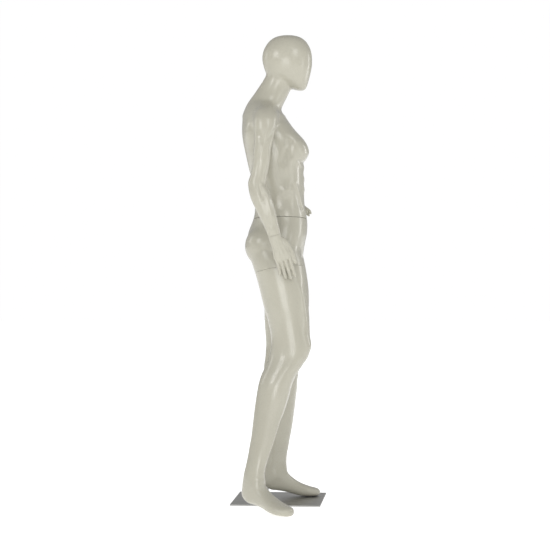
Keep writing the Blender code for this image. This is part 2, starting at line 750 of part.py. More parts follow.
def board(name, frame, outline, side, cutters):
    """A closing board just inside a moulding's open end, its rim following the wall."""
    near = FIT_GAP / 2 + BOARD_BACK
    low, high = (near, near + BOARD) if side > 0 else (-near - BOARD, -near)
    thing = add_object(name, box_mesh(name, (-BIG, -BIG, low), (BIG, BIG, high)), "board")
    thing.matrix_world = frame
    boolean(thing, cutter(f"{name}_outline", outline), "INTERSECT")
    for other in cutters:
        boolean(thing, other)


# Heights along a peg's axis from its seam: under the flange, the catch's near face, the wings' near face.
FLANGE_SEAT = FIT_GAP / 2 + BOARD_BACK + BOARD + GAP
CATCH_FACE = -FLANGE_SEAT
WING_FACE = CATCH_FACE - CATCH - GAP


def winged_peg(name, frame, profile, half_bar, wing, steps):
    """A turned peg with a bar across its far end, the last of the profile."""
    peg = turned(f"{name}_peg", profile, frame, "zinc", steps)
    end = profile[-1][1]
    low, high = (-half_bar, -wing, end + 0.0001), (half_bar, wing, end + WING_THICK - 0.0001)
    boolean(peg, cutter(f"{name}_wings", box_mesh("wings", low, high), frame), "UNION")
    return peg


def fitting_screw(name, spot):
    head = FLANGE_SEAT + FLANGE + GAP
    tip = FIT_GAP / 2 + 0.001
    rounded = [(0, head + 0.0022), (0.0022, head + 0.0020), (0.0036, head + 0.0008), (0.0036, head)]
    turned(name, rounded + [(0.0017, head), (0.0017, tip), (0, tip)], spot, "zinc", 10)


def keyhole(name, frame, half_slot, half_long, eye, sides=20):
    """The two cutters of the opening a winged peg passes through."""
    low, high = (-half_long, -half_slot, -THROUGH), (half_long, half_slot, THROUGH)
    slot_cut = cutter(f"{name}_slot", box_mesh("slot", low, high), frame)
    eye_mesh = rod_mesh("eye", eye, -THROUGH - 0.001, THROUGH + 0.001, sides)
    return [slot_cut, cutter(f"{name}_eye", eye_mesh, frame)]


def fitting(name, frame, shank, wing, flange_radius, screws):
    """A bayonet: a winged peg with its flange, the catch it turns behind, and the flange's screws.

    Local +Z is the side the peg is fixed on. Returns the cutters for the boards of the two sides.
    """
    top, end = FLANGE_SEAT + FLANGE, WING_FACE - WING_THICK
    profile = [
        (0, top),
        (flange_radius, top),
        (flange_radius, FLANGE_SEAT),
        (shank, FLANGE_SEAT),
        (shank, end),
        (0, end),
    ]
    peg = winged_peg(name, frame, profile, shank * 0.8, wing, 20)
    rim = wing + 0.006
    disc = [(0, CATCH_FACE), (rim, CATCH_FACE), (rim, CATCH_FACE - CATCH), (0, CATCH_FACE - CATCH)]
    catch = turned(f"{name}_catch", disc, frame, "zinc")
    opening = keyhole(name, frame, shank * 0.8 + 0.001, wing + WING_PLAY, shank + EYE_PLAY)
    for cut in opening:
        boolean(catch, cut)
    shank_mesh = rod_mesh("hole", shank + SHANK_PLAY, -THROUGH, THROUGH)
    plain = [cutter(f"{name}_shank_hole", shank_mesh, frame)]
    for i in range(screws):
        turn = Matrix.Rotation(2 * math.pi * (i + 0.25) / screws, 4, "Z")
        spot = frame @ turn @ Matrix.Translation((flange_radius - 0.006, 0, 0))
        fitting_screw(f"{name}_screw_{i + 1}", spot)
        hole_mesh = rod_mesh("hole", SCREW_HOLE, -0.0002, THROUGH, 12)
        hole = cutter(f"{name}_screw_hole_{i + 1}", hole_mesh, spot)
        boolean(peg, hole)
        plain.append(hole)
    return plain, opening


def make_waist():
    plain, slotted = fitting("waist", WAIST_SEAM, 0.011, 0.026, 0.032, 3)
    halves = (("waist_upper", TORSO, 1, plain), ("waist_lower", PELVIS, -1, slotted))
    for name, table, side, cutters in halves:
        rings = level_rings(table[:8], 12, LEG_RING, WALL + PLUG_GAP)
        outline = blended(f"{name}_outline", [loft_mesh(name, rings)], HOLLOW_VOXEL, 0, 500)
        board(f"{name}_board", WAIST_SEAM, outline, side, cutters)


def make_thigh():
    frame = THIGH_SEAM_FRAME @ Matrix.Rotation(math.pi, 4, "X")
    plain, slotted = fitting("thigh", frame, 0.010, 0.022, 0.028, 3)
    rows = [row for row in RIGHT_LEG if row[2] > 700]
    for name, side, cutters in (("thigh_leg_board", 1, plain), ("thigh_hip_board", -1, slotted)):
        outline = loft_mesh(f"{name}_outline", placed_rings(rows, 14, LEG_RING, WALL + PLUG_GAP))
        board(name, frame, outline, side, cutters)


def make_shoulder(side, frame, arm_rows):
    plain, slotted = fitting(f"{side}_shoulder", frame, 0.008, 0.017, 0.024, 2)
    rings = swept_rings(arm_rows, 10, LEG_RING, WALL + ARM_PLUG_GAP)
    board(f"{side}_shoulder_arm_board", frame, loft_mesh(f"{side}_arm_end", rings), 1, plain)
    rings = swept_rings(YOKE, 24, LEG_RING, WALL + PLUG_GAP)
    board(f"{side}_shoulder_chest_board", frame, loft_mesh(f"{side}_yoke_end", rings), -1, slotted)


def make_wrist(side, frame, rows):
    """A small peg pressed into the hand, turned behind the board in the forearm's end."""
    shank, wing, half_bar = 0.0040, 0.0072, 0.0028
    name = f"{side}_wrist"
    end = WING_FACE + CATCH - WING_THICK
    profile = [(0, 0.020), (shank, 0.020), (shank, end), (0, end)]
    winged_peg(name, frame, profile, half_bar, wing, 16)
    opening = keyhole(name, frame, half_bar + 0.001, wing + 0.001, shank + SHANK_PLAY, 16)
    outline = loft_mesh(f"{name}_outline", swept_rings(rows, 9, SLIM_RING, WALL + WRIST_PLUG_GAP))
    board(f"{name}_board", frame, outline, -1, opening)


# ---------------------------------------------------------------- base
PLATE_TOP = PAD_THICK + PLATE_THICK
SPIGOT_FRAME = Matrix.Translation((SPIGOT_X, SPIGOT_Y, 0.0))
BOLT_RADIUS, BOLT_HEAD, BOLT_HEAD_THICK = 0.0039, 0.0072, 0.0041
SPIGOT_FOOT, SPIGOT_FOOT_THICK = 0.015, 0.004
THREAD_DEPTH = 0.024
GRUB_Z, GRUB_RADIUS, GRUB_INNER, GRUB_OUTER = 0.074, 0.0025, 0.0063, 0.0158
EDGE = 0.0008  # the plate's broken edges


def make_pads(plate):
    corner = PLATE_SIDE / 2 - PAD_INSET
    top = PAD_THICK - GAP
    spots = {
        "centre": (0, 0),
        "front_left": (corner, corner),
        "front_right": (corner, -corner),
        "rear_left": (-corner, corner),
        "rear_right": (-corner, -corner),
    }
    for name, (x, y) in spots.items():
        spot = plate.matrix_world @ Matrix.Translation((x, y, 0))
        profile = [(0, top), (PAD_RADIUS, top), (PAD_RADIUS, 0), (0, 0)]
        turned(f"pad_{name}", profile, spot, "rubber")


def make_base():
    half = PLATE_SIDE / 2
    slab = box_mesh("base_plate", (-half, -half, PAD_THICK), (half, half, PLATE_TOP))
    plate = add_object("base_plate", slab, "steel")
    plate.matrix_world = Matrix.Rotation(PLATE_TURN, 4, "Z")
    bevel = plate.modifiers.new("edges", "BEVEL")
    bevel.width = EDGE
    bevel.segments = 2
    # The head's cone stands clear of the sink by GAP along the axis and across it.
    below, above = PAD_THICK - 0.001, PAD_THICK + BOLT_HEAD_THICK + 0.0005
    wide, narrow = BOLT_HEAD + 0.0016, BOLT_RADIUS + 0.0007
    sink = rod_mesh("sink", wide, below, above, 20, narrow)
    boolean(plate, cutter("bolt_sink", sink, SPIGOT_FRAME))
    hole = rod_mesh("hole", narrow - 0.0001, -0.001, PLATE_TOP + 0.005, 20)
    boolean(plate, cutter("bolt_hole", hole, SPIGOT_FRAME))
    make_pads(plate)


def make_spigot():
    foot = PLATE_TOP + GAP
    disc = foot + SPIGOT_FOOT_THICK
    profile = [
        (0, SPIGOT_TOP),
        (SPIGOT_RADIUS - 0.001, SPIGOT_TOP),
        (SPIGOT_RADIUS, SPIGOT_TOP - 0.001),
        (SPIGOT_RADIUS, disc),
        (SPIGOT_FOOT - 0.001, disc),
        (SPIGOT_FOOT, disc - 0.001),
        (SPIGOT_FOOT, foot),
        (0, foot),
    ]
    rod = turned("spigot_rod", profile, SPIGOT_FRAME, "steel")
    thread = rod_mesh("hole", BOLT_RADIUS + GAP, 0.0, foot + THREAD_DEPTH)
    boolean(rod, cutter("rod_thread", thread, SPIGOT_FRAME))
    low, tip = PAD_THICK + GAP, foot + THREAD_DEPTH - 0.004
    profile = [
        (0, tip),
        (BOLT_RADIUS - 0.0005, tip),
        (BOLT_RADIUS, tip - 0.0005),
        (BOLT_RADIUS, low + BOLT_HEAD_THICK),
        (BOLT_HEAD, low),
        (0, low),
    ]
    turned("spigot_bolt", profile, SPIGOT_FRAME, "zinc")


def make_socket():
    """The heel's tube and its clamping screw. Returns the tube's radius and top, and the screw's way in."""
    inner = SPIGOT_RADIUS + 0.0004
    outer = inner + SOCKET_WALL
    low, high = HEEL_UNDERSIDE + 0.001, SPIGOT_TOP + 0.006
    top = high + SOCKET_WALL
    profile = [(0, top), (outer, top), (outer, low), (inner, low), (inner, high), (0, high)]
    tube = turned("heel_socket", profile, SPIGOT_FRAME, "zinc")
    across = Matrix.Rotation(-math.pi / 2, 4, "Y")
    screw_frame = Matrix.Translation((SPIGOT_X, SPIGOT_Y, GRUB_Z)) @ across
    way = cutter("grub_way", rod_mesh("hole", GRUB_RADIUS + 0.0004, 0.004, 0.040, 16), screw_frame)
    boolean(tube, way)
    profile = [
        (0, GRUB_OUTER),
        (GRUB_RADIUS - 0.0005, GRUB_OUTER),
        (GRUB_RADIUS, GRUB_OUTER - 0.0005),
        (GRUB_RADIUS, GRUB_INNER + 0.0007),
        (GRUB_RADIUS - 0.0007, GRUB_INNER),
        (0, GRUB_INNER),
    ]
    turned("heel_grub_screw", profile, screw_frame, "zinc", 12)
    return outer, top, way


def bore_heel(shell, outer, top, way):
    bore = rod_mesh("hole", outer + GAP, 0.02, top + GAP, 28)
    boolean(shell, cutter("heel_bore", bore, SPIGOT_FRAME))
    boolean(shell, way)


# ---------------------------------------------------------------- build
make_torso()
lower = make_lower_body()
make_right_leg()
make_right_arm()
make_left_arm()
make_hand("right_hand", RIGHT_HAND_FRAME, False, (6.0, 7.0, 7.0, 8.0), WRIST_R)
make_hand("left_hand", LEFT_HAND_FRAME, True, (15.0, 9.0, 11.0, 14.0), WRIST_L)
make_waist()
make_thigh()
make_shoulder("right", SHOULDER_R, RIGHT_ARM[:5])
make_shoulder("left", SHOULDER_L, LEFT_UPPER_ARM[:5])
make_wrist("right", WRIST_R, RIGHT_ARM[-4:] + [RIGHT_WRIST_PAST])
make_wrist("left", WRIST_L, LEFT_FOREARM[-4:] + [LEFT_WRIST_PAST])
make_base()
make_spigot()
bore_heel(lower, *make_socket())
for thing in PARTS.objects:
    shade(thing)
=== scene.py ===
"""Looks of the full body display mannequin: fine mouldings, materials, light and camera.

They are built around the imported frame. Tables of sections and touches are in millimetres; everything else
is in metres. The figure faces +X and its left is +Y.
"""

import json
import math

import bmesh
import bpy
import numpy as np
from mathutils import Matrix, Vector


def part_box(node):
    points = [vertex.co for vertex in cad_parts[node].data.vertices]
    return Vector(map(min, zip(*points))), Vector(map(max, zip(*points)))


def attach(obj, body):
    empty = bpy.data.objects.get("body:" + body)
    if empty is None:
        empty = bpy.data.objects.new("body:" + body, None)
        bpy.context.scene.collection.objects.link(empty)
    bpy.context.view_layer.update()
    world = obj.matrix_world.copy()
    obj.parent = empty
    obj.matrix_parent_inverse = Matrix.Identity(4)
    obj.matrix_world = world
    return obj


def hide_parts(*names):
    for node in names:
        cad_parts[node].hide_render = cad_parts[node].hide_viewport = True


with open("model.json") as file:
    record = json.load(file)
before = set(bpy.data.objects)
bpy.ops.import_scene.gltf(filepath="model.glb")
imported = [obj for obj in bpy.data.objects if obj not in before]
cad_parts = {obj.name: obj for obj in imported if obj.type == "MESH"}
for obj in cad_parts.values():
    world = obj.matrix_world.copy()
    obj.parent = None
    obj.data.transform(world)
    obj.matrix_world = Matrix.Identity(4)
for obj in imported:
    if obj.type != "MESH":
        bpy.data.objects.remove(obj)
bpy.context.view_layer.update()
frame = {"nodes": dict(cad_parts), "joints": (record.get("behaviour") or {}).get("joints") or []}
JOINTS = {joint["name"]: joint for joint in frame["joints"]}

MM = 0.001
FIT_GAP = 0.0006  # between parts that meet
WALL = 0.0045  # moulded shell
CENTRE_Y = -0.085  # the figure's middle plane at the shoulders
HIP_Y = -0.080  # its middle plane at the hips
SHARP_ANGLE = math.radians(45)  # a steeper corner stays an edge

# ---------------------------------------------------------------- sections of the mouldings
# Level rings: height, back x, front x, half width, middle y, squareness.
WAIST = [
    (1050, -121, 108, 152, -80, 2.2),
    (1080, -111, 110, 138, -81, 2.15),
    (1105, -101, 109, 125, -82, 2.15),
    (1130, -96, 105, 116, -83, 2.15),
    (1165, -94, 99, 110, -84, 2.15),
]
TORSO = WAIST + [
    (1205, -93, 97, 111, -85, 2.2),
    (1250, -101, 96, 118, -85, 2.2),
    (1295, -113, 94, 124, -85, 2.25),
    (1335, -122, 90, 127, -85, 2.3),
    (1375, -132, 85, 128, -85, 2.3),
    (1410, -140, 75, 128, -85, 2.3),
    (1440, -144, 61, 125, -85, 2.3),
    (1470, -144, 46, 119, -85, 2.2),
    (1495, -142, 31, 109, -85, 2.2),
    (1518, -137, 15, 94, -85, 2.1),
    (1538, -128, 4, 74, -85, 2.0),
]
HEAD = [
    (1605, 76, 94, 10, -85, 2.0),
    (1610, 58, 102, 28, -85, 2.1),
    (1626, 22, 109, 46, -85, 2.1),
    (1641, -8, 114, 57, -85, 2.1),
    (1657, -33, 118, 65, -85, 2.1),
    (1672, -49, 122, 70, -85, 2.1),
    (1688, -57, 125, 74, -85, 2.1),
    (1703, -61, 128, 76, -85, 2.1),
    (1719, -65, 128, 77, -85, 2.1),
    (1735, -66, 128, 76, -85, 2.1),
    (1750, -64, 126, 74, -85, 2.1),
    (1766, -59, 122, 70, -85, 2.1),
    (1781, -51, 115, 64, -85, 2.05),
    (1797, -39, 104, 55, -85, 2.0),
    (1810, -22, 88, 42, -85, 2.0),
    (1818, 0, 67, 25, -85, 2.0),
    (1821, 20, 47, 10, -85, 2.0),
]
PELVIS = WAIST[::-1] + [
    (1022, -124, 102, 162, -80, 2.2),
    (990, -122, 96, 167, -80, 2.2),
    (962, -112, 92, 166, -80, 2.2),
    (938, -94, 84, 150, -80, 2.1),
    (916, -72, 70, 118, -80, 2.0),
    (900, -48, 50, 70, -80, 2.0),
    (893, -20, 24, 25, -80, 2.0),
]
# Ring tables of the limbs: x, y, z, front, back, side, squareness, yaw and pitch in degrees.
# Pitch 0 is a level ring, pitch 90 one that stands across the foot.
LEFT_LEG = [
    (-6, 3, 1030, 72, 96, 60, 2.1, 0, 0),
    (-4, 4, 990, 92, 114, 80, 2.1, 0, 0),
    (2, 4, 950, 96, 108, 86, 2.1, 0, 0),
    (12, 4, 905, 95, 101, 84, 2.1, 0, 0),
    (22, 4, 855, 92, 93, 81, 2.1, 0, 0),
    (28, 5, 800, 90, 90, 78, 2.1, 0, 0),
    (29, 6, 745, 87, 87, 73, 2.1, 0, 0),
    (25, 8, 695, 80, 82, 66, 2.1, 0, 0),
    (19, 10, 650, 72, 73, 58, 2.1, 3, 0),
    (14, 12, 610, 68, 66, 54, 2.1, 5, 0),
    (11, 13, 570, 65, 67, 52, 2.1, 7, 0),
    (8, 14, 520, 68, 69, 55, 2.1, 9, 0),
    (8, 15, 470, 65, 66, 55, 2.1, 10, 0),
    (8, 16, 415, 59, 60, 50, 2.1, 12, 0),
    (8, 17, 350, 51, 52, 42, 2.1, 13, 0),
    (3, 18, 285, 47, 46, 36, 2.1, 14, 0),
    (-4, 19, 225, 43, 43, 32, 2.1, 15, 0),
    (-10, 20, 170, 42, 43, 31, 2.1, 16, 0),
]
RIGHT_LEG = [
    (-16, -164, 1030, 74, 92, 58, 2.1, 0, 0),
    (-12, -166, 990, 90, 108, 78, 2.1, 0, 0),
    (-6, -171, 955, 95, 104, 85, 2.1, 0, 0),
    (-1, -176, 925, 96, 99, 86, 2.1, 0, 0),
    (10, -186, 870, 92, 93, 83, 2.1, 0, 0),
    (19, -195, 820, 90, 89, 80, 2.1, -3, 0),
    (26, -204, 775, 86, 85, 76, 2.1, -6, 0),
    (36, -215, 715, 80, 78, 68, 2.1, -9, 0),
    (42, -228, 662, 76, 74, 60, 2.1, -12, 0),
    (43, -238, 622, 78, 75, 56, 2.1, -14, 0),
    (36, -245, 590, 75, 74, 54, 2.1, -16, 0),
    (18, -255, 551, 70, 70, 54, 2.1, -19, 0),
    (1, -262, 518, 65, 69, 55, 2.1, -21, 0),
    (-14, -269, 479, 63, 66, 56, 2.1, -23, 0),
    (-24, -274, 440, 63, 63, 54, 2.1, -25, 0),
    (-36, -280, 390, 60, 59, 49, 2.1, -27, 0),
    (-50, -288, 334, 52, 52, 42, 2.1, -30, 0),
    (-62, -295, 278, 47, 47, 36, 2.1, -33, 0),
    (-79, -304, 210, 40, 41, 32, 2.1, -36, 0),
    (-90, -310, 165, 40, 40, 31, 2.1, -38, 0),
]
# The foot from under the ankle to the toes: forward, up, front, back, side, squareness, pitch.
FOOT = [
    (2, 140, 42, 46, 31, 2.1, 8),
    (4, 118, 42, 59, 33, 2.1, 22),
    (10, 98, 42, 76, 34, 2.1, 35),
    (20, 84, 34, 69, 33, 2.1, 45),
    (38, 74, 25, 55, 33, 2.1, 55),
    (68, 56, 19, 41, 35, 2.2, 62),
    (98, 37, 20, 31, 41, 2.3, 68),
    (126, 23, 23, 21, 43, 2.4, 78),
    (150, 18, 20, 16.5, 39, 2.5, 88),
    (168, 16.5, 18, 15, 31, 2.5, 90),
    (178, 15.5, 14, 12, 21, 2.3, 90),
    (184, 15, 6, 5, 9, 2.0, 90),
]
LEFT_FOOT_YAW, RIGHT_FOOT_YAW = 17, -40
LEFT_ANKLE, RIGHT_ANKLE = (-12, 20, 5.8), (-95, -310, 0.6)
# Swept tables: x, y, z, front, back, side, squareness; the rings follow the path.
NECK = [
    (-88, -85, 1480, 60, 62, 100, 2.0),
    (-70, -85, 1520, 60, 64, 86, 2.0),
    (-50, -85, 1553, 60, 62, 69, 2.0),
    (-33, -85, 1583, 58, 59, 57, 2.0),
    (-16, -85, 1612, 56, 57, 52, 2.0),
    (0, -85, 1640, 52, 57, 52, 2.0),
    (14, -85, 1668, 44, 56, 54, 2.0),
]
YOKE = [
    (-50, -234, 1487, 48, 49, 49, 2.1),
    (-50, -216, 1490, 48, 50, 50, 2.1),
    (-53, -190, 1491, 53, 55, 57, 2.1),
    (-57, -165, 1491, 60, 63, 67, 2.1),
    (-61, -140, 1491, 65, 70, 79, 2.1),
    (-64, -115, 1491, 67, 73, 90, 2.1),
    (-65, -85, 1489, 68, 74, 97, 2.1),
    (-64, -55, 1487, 67, 73, 90, 2.1),
    (-61, -30, 1485, 65, 70, 79, 2.1),
    (-57, -5, 1484, 60, 63, 67, 2.1),
    (-53, 20, 1483, 53, 55, 57, 2.1),
    (-50, 46, 1482, 48, 50, 50, 2.1),
    (-50, 64, 1479, 48, 49, 49, 2.1),
]
RIGHT_ARM = [
    (-50, -216, 1490, 48, 50, 50, 2.1),
    (-51, -234, 1487, 48, 49, 49, 2.1),
    (-53, -250, 1475, 46, 47, 46, 2.1),
    (-55, -262, 1450, 41, 43, 41, 2.1),
    (-58, -269, 1418, 37, 37, 37, 2.1),
    (-63, -275, 1370, 32, 33, 34, 2.1),
    (-69, -282, 1315, 30, 30, 31, 2.1),
    (-78, -288, 1268, 31, 31, 30, 2.1),
    (-82, -293, 1238, 33, 34, 31, 2.1),
    (-74, -297, 1203, 37, 37, 32, 2.1),
    (-58, -301, 1163, 36, 36, 30, 2.1),
    (-43, -304, 1123, 32, 32, 27, 2.1),
    (-29, -304, 1082, 27, 27, 22, 2.1),
    (-18, -303, 1046, 24, 24, 19, 2.1),
]
LEFT_UPPER_ARM = [
    (-50, 46, 1482, 48, 50, 50, 2.1),
    (-50, 64, 1479, 48, 49, 49, 2.1),
    (-52, 82, 1466, 46, 47, 46, 2.1),
    (-56, 101, 1443, 41, 42, 42, 2.1),
    (-61, 127, 1412, 35, 35, 36, 2.1),
    (-67, 171, 1368, 32, 32, 33, 2.1),
    (-74, 219, 1321, 31, 31, 31, 2.1),
    (-78, 248, 1292, 33, 33, 32, 2.1),
    (-79, 262, 1278, 29, 29, 28, 2.0),
    (-79, 271, 1269, 19, 19, 18, 2.0),
    (-79, 275, 1265, 6, 6, 6, 2.0),
]
LEFT_FOREARM = [
    (-80, 284, 1272, 6, 6, 6, 2.0),
    (-80, 279, 1271, 20, 20, 18, 2.0),
    (-79, 269, 1269, 30, 30, 28, 2.0),
    (-76, 253, 1264, 36, 35, 32, 2.1),
    (-67, 218, 1251, 37, 36, 32, 2.1),
    (-54, 174, 1235, 33, 33, 29, 2.1),
    (-37, 132, 1216, 28, 28, 24, 2.1),
    (-24, 96, 1203, 24, 24, 19, 2.1),
]
# Rows that carry a limb on past the seam it is cut at.
LEFT_WRIST_PAST = (-11, 60, 1190, 24, 24, 19, 2.1)
RIGHT_WRIST_PAST = (-7, -302, 1010, 24, 24, 19, 2.1)
LEFT_ROOT_PAST = (-50, 25, 1482, 48, 50, 50, 2.1)
RIGHT_ROOT_PAST = (-50, -195, 1490, 48, 50, 50, 2.1)
SEAT_X, SEAT_Z, SEAT_OUT = -0.052, 1.004, 0.076  # the rounds of the seat
SEAT_SIZE = Vector((0.080, 0.082, 0.082))

# Shallow rises and hollows on the chest: y, z, half width, reach up, reach down, height.
CHEST_RISES = [
    (-85 - 68, 1371, 56, 78, 42, 40),
    (-85 + 68, 1371, 56, 78, 42, 40),
]

# ---------------------------------------------------------------- sections of the hands
# Along the hand from the wrist: towards the thumb, towards the back, along, half width, half thickness.
PALM = [
    (0, 0, -14, 24, 19),
    (0, 0, 0, 24, 19),
    (0, 0, 16, 25, 17.5),
    (3, -1, 38, 28, 15.5),
    (4, -2, 62, 32, 13.5),
    (4, -2, 84, 34, 11.5),
    (3, -3, 96, 31, 9),
    (3, -3, 103, 24, 5),
]
# Each finger: its root across the hand and along it, its length, its radius, its lean towards the thumb.
FINGERS = [
    (27, 84, 92, 7.7, -1.0),
    (11, 88, 92, 7.9, -2.0),
    (-5, 86, 88, 7.6, -3.0),
    (-19, 80, 74, 6.9, -4.0),
]
FINGER_SHARES = (0.0, 0.16, 0.42, 0.50, 0.68, 0.76, 0.92, 1.0)
FINGER_WIDTHS = (0.98, 1.0, 0.94, 0.98, 0.90, 0.92, 0.74, 0.3)
KNUCKLE_SHARES = (0.16, 0.50, 0.76)
FINGER_ROOT = 18.0  # of each finger lies inside the palm
FINGER_ROOT_Y = -3.0  # a little to the palm's side of the hand's middle
# The thumb's path, with its radius.
THUMB = [
    (18, -2, 20, 13),
    (32, -6, 44, 12),
    (39, -9, 70, 10.5),
    (41, -11, 96, 10),
    (41, -12, 119, 8),
    (40, -12, 128, 3),
]


# ---------------------------------------------------------------- lofts
def spaced(table, count):
    """The table's rows run through a smooth curve and sampled again at even steps of it."""
    rows = np.array(table, float)
    steps = np.linalg.norm(np.diff(rows[:, :6], axis=0), axis=1)
    at = np.concatenate([[0.0], np.cumsum(steps)])
    slope = np.gradient(rows, at, axis=0)
    want = np.linspace(0.0, at[-1], count)
    low = np.clip(np.searchsorted(at, want, side="right") - 1, 0, len(at) - 2)
    span = (at[low + 1] - at[low])[:, None]
    t = (want[:, None] - at[low][:, None]) / span
    return (
        (2 * t**3 - 3 * t**2 + 1) * rows[low]
        + (t**3 - 2 * t**2 + t) * span * slope[low]
        + (3 * t**2 - 2 * t**3) * rows[low + 1]
        + (t**3 - t**2) * span * slope[low + 1]
    )


def ring_shape(front, back, side, power, around):
    """Points of a superellipse whose front and back halves have depths of their own."""
    turn = np.linspace(0.0, 2 * math.pi, around, endpoint=False)
    c, s = np.cos(turn), np.sin(turn)
    ahead = np.sign(c) * np.abs(c) ** (2 / power) * np.where(c > 0, front, back)
    across = np.sign(s) * np.abs(s) ** (2 / power) * side
    return ahead, across


def loft_mesh(name, rings):
    """One closed body through the rings of points; the ends are closed with fans."""
    around = len(rings[0])
    points = np.concatenate(rings + [[rings[0].mean(0)], [rings[-1].mean(0)]])
    first, last = len(points) - 2, len(points) - 1
    faces = []
    for i in range(len(rings) - 1):
        for k in range(around):
            j = (k + 1) % around
            a, b = i * around, (i + 1) * around
            faces.append((a + k, a + j, b + j, b + k))
    end = (len(rings) - 1) * around
    for k in range(around):
        j = (k + 1) % around
        faces.append((first, j, k))
        faces.append((last, end + k, end + j))
    mesh = bpy.data.meshes.new(name)
    mesh.from_pydata(points.tolist(), [], faces)
    work = bmesh.new()
    work.from_mesh(mesh)
    bmesh.ops.recalc_face_normals(work, faces=work.faces)
    if work.calc_volume(signed=True) < 0:
        bmesh.ops.reverse_faces(work, faces=work.faces)
    work.to_mesh(mesh)
    work.free()
    return mesh


def level_rings(table, count, around, rises=()):
    """Level rings, with the rises raised on their fronts."""
    rings = []
    for z, back, front, side, middle, power in spaced(table, count):
        half = (front - back) / 2
        ahead, across = ring_shape(half, half, side, power, around)
        ring = np.stack([ahead + (front + back) / 2, across + middle, np.full(around, z)], axis=1)
        for y0, z0, wide, up, down, height in rises:
            reach = up if z > z0 else down
            near = ((ring[:, 1] - y0) / wide) ** 2 + ((z - z0) / reach) ** 2
            faces_front = np.clip(ahead / half, 0.0, 1.0)
            ring[:, 0] += height * np.exp(-(near**1.25)) * faces_front
        rings.append(ring * MM)
    return rings


def placed_rings(table, count, around):
    """Rings with their own yaw and pitch."""
    rings = []
    for x, y, z, front, back, side, power, yaw, pitch in spaced(table, count):
        ahead, across = ring_shape(front, back, side, power, around)
        yaw, pitch = math.radians(yaw), math.radians(pitch)
        forward = np.array(
            [math.cos(pitch) * math.cos(yaw), math.cos(pitch) * math.sin(yaw), math.sin(pitch)]
        )
        sideways = np.array([-math.sin(yaw), math.cos(yaw), 0.0])
        ring = np.array([x, y, z]) + np.outer(ahead, forward) + np.outer(across, sideways)
        rings.append(ring * MM)
    return rings


def swept_rings(table, count, around):
    """Rings square to the path, their front kept towards +X."""
    rows = spaced(table, count)
    along = np.gradient(rows[:, :3], axis=0)
    along /= np.linalg.norm(along, axis=1)[:, None]
    rings = []
    for row, ahead_of in zip(rows, along):
        forward = np.array([1.0, 0.0, 0.0])
        forward -= ahead_of * forward.dot(ahead_of)
        forward /= np.linalg.norm(forward)
        sideways = np.cross(ahead_of, forward)
        ahead, across = ring_shape(*row[3:7], around)
        rings.append((row[:3] + np.outer(ahead, forward) + np.outer(across, sideways)) * MM)
    return rings


def leg_table(leg, ankle, foot_yaw):
    """The leg's rings carried on into its foot."""
    yaw = math.radians(foot_yaw)
    rows = list(leg)
    for forward, up, front, back, side, power, pitch in FOOT:
        rows.append(
            (
                ankle[0] + forward * math.cos(yaw),
                ankle[1] + forward * math.sin(yaw),
                ankle[2] + up,
                front, back, side, power, foot_yaw, pitch,
            )
        )
    return rows


# ---------------------------------------------------------------- mesh tools
def new_object(name, data):
    made = bpy.data.objects.new(name, data)
    bpy.context.scene.collection.objects.link(made)
    return made


def mesh_of(name, work):
    """The work as a named mesh; the work itself goes."""
    made = bpy.data.meshes.new(name)
    work.to_mesh(made)
    work.free()
    return made


def applied(thing):
    """The object's mesh as its modifiers leave it; the object itself goes."""
    bpy.context.view_layer.update()
    graph = bpy.context.evaluated_depsgraph_get()
    made = bpy.data.meshes.new_from_object(thing.evaluated_get(graph))
    bpy.data.objects.remove(thing, do_unlink=True)
    return made


def joined(name, meshes):
    """Several closed meshes as one mesh, not yet united."""
    work = bmesh.new()
    for mesh in meshes:
        work.from_mesh(mesh)
    return mesh_of(name, work)


def blended(name, meshes, voxel, rounds):
    """The meshes as one skin whose inner corners are softened."""
    thing = new_object(name, joined(name, meshes))
    remesh = thing.modifiers.new("blend", "REMESH")
    remesh.mode = "VOXEL"
    remesh.voxel_size = voxel
    smooth = thing.modifiers.new("soften", "SMOOTH")
    smooth.factor = 0.5
    smooth.iterations = rounds
    return applied(thing)


def without(name, mesh, cutters):
    """The mesh with the closed cutters taken out of it."""
    thing = new_object(name, mesh)
    for cutter in cutters:
        modifier = thing.modifiers.new("cut", "BOOLEAN")
        modifier.solver = "MANIFOLD"
        modifier.object = cutter
    made = applied(thing)
    for cutter in cutters:
        bpy.data.objects.remove(cutter, do_unlink=True)
    return made


RELIEF = 1.8  # how strongly the soft modelling stands out


def sculpt(mesh, touches):
    """Raises or sinks soft patches of the skin along its normals.

    A touch is a centre, the half sizes of its soft ellipsoid along x, y and z, and a height. Heights are
    multiplied by RELIEF.
    """
    count = len(mesh.vertices)
    points, normals = np.empty(count * 3, np.float32), np.empty(count * 3, np.float32)
    mesh.vertices.foreach_get("co", points)
    mesh.vertex_normals.foreach_get("vector", normals)
    points, normals = points.reshape(-1, 3), normals.reshape(-1, 3)
    push = np.zeros(count)
    for centre, size, height in touches:
        near = (((points / MM - np.array(centre)) / np.array(size)) ** 2).sum(axis=1)
        push += height * MM * np.exp(-near)
    push *= RELIEF
    mesh.vertices.foreach_set("co", (points + normals * push[:, None]).astype(np.float32).ravel())
    mesh.update()


def line_of(first, last, count, size, height):
    """A row of touches that together make a soft ridge or groove from first to last."""
    first, last = np.array(first, float), np.array(last, float)
    return [(first + (last - first) * i / (count - 1), size, height) for i in range(count)]


def both_sides(touches, middle):
    """The touches and their mirror images about the plane y = middle."""
    return touches + [((x, 2 * middle - y, z), size, height) for (x, y, z), size, height in touches]


def seam_frame(name):
    """The frame of a joint's seam, its +Z along the joint's axis."""
    joint = JOINTS[name]
    turn = Vector(joint["axis"]).to_track_quat("Z", "Y").to_matrix().to_4x4()
    return Matrix.Translation(Vector(joint["pos_m"])) @ turn


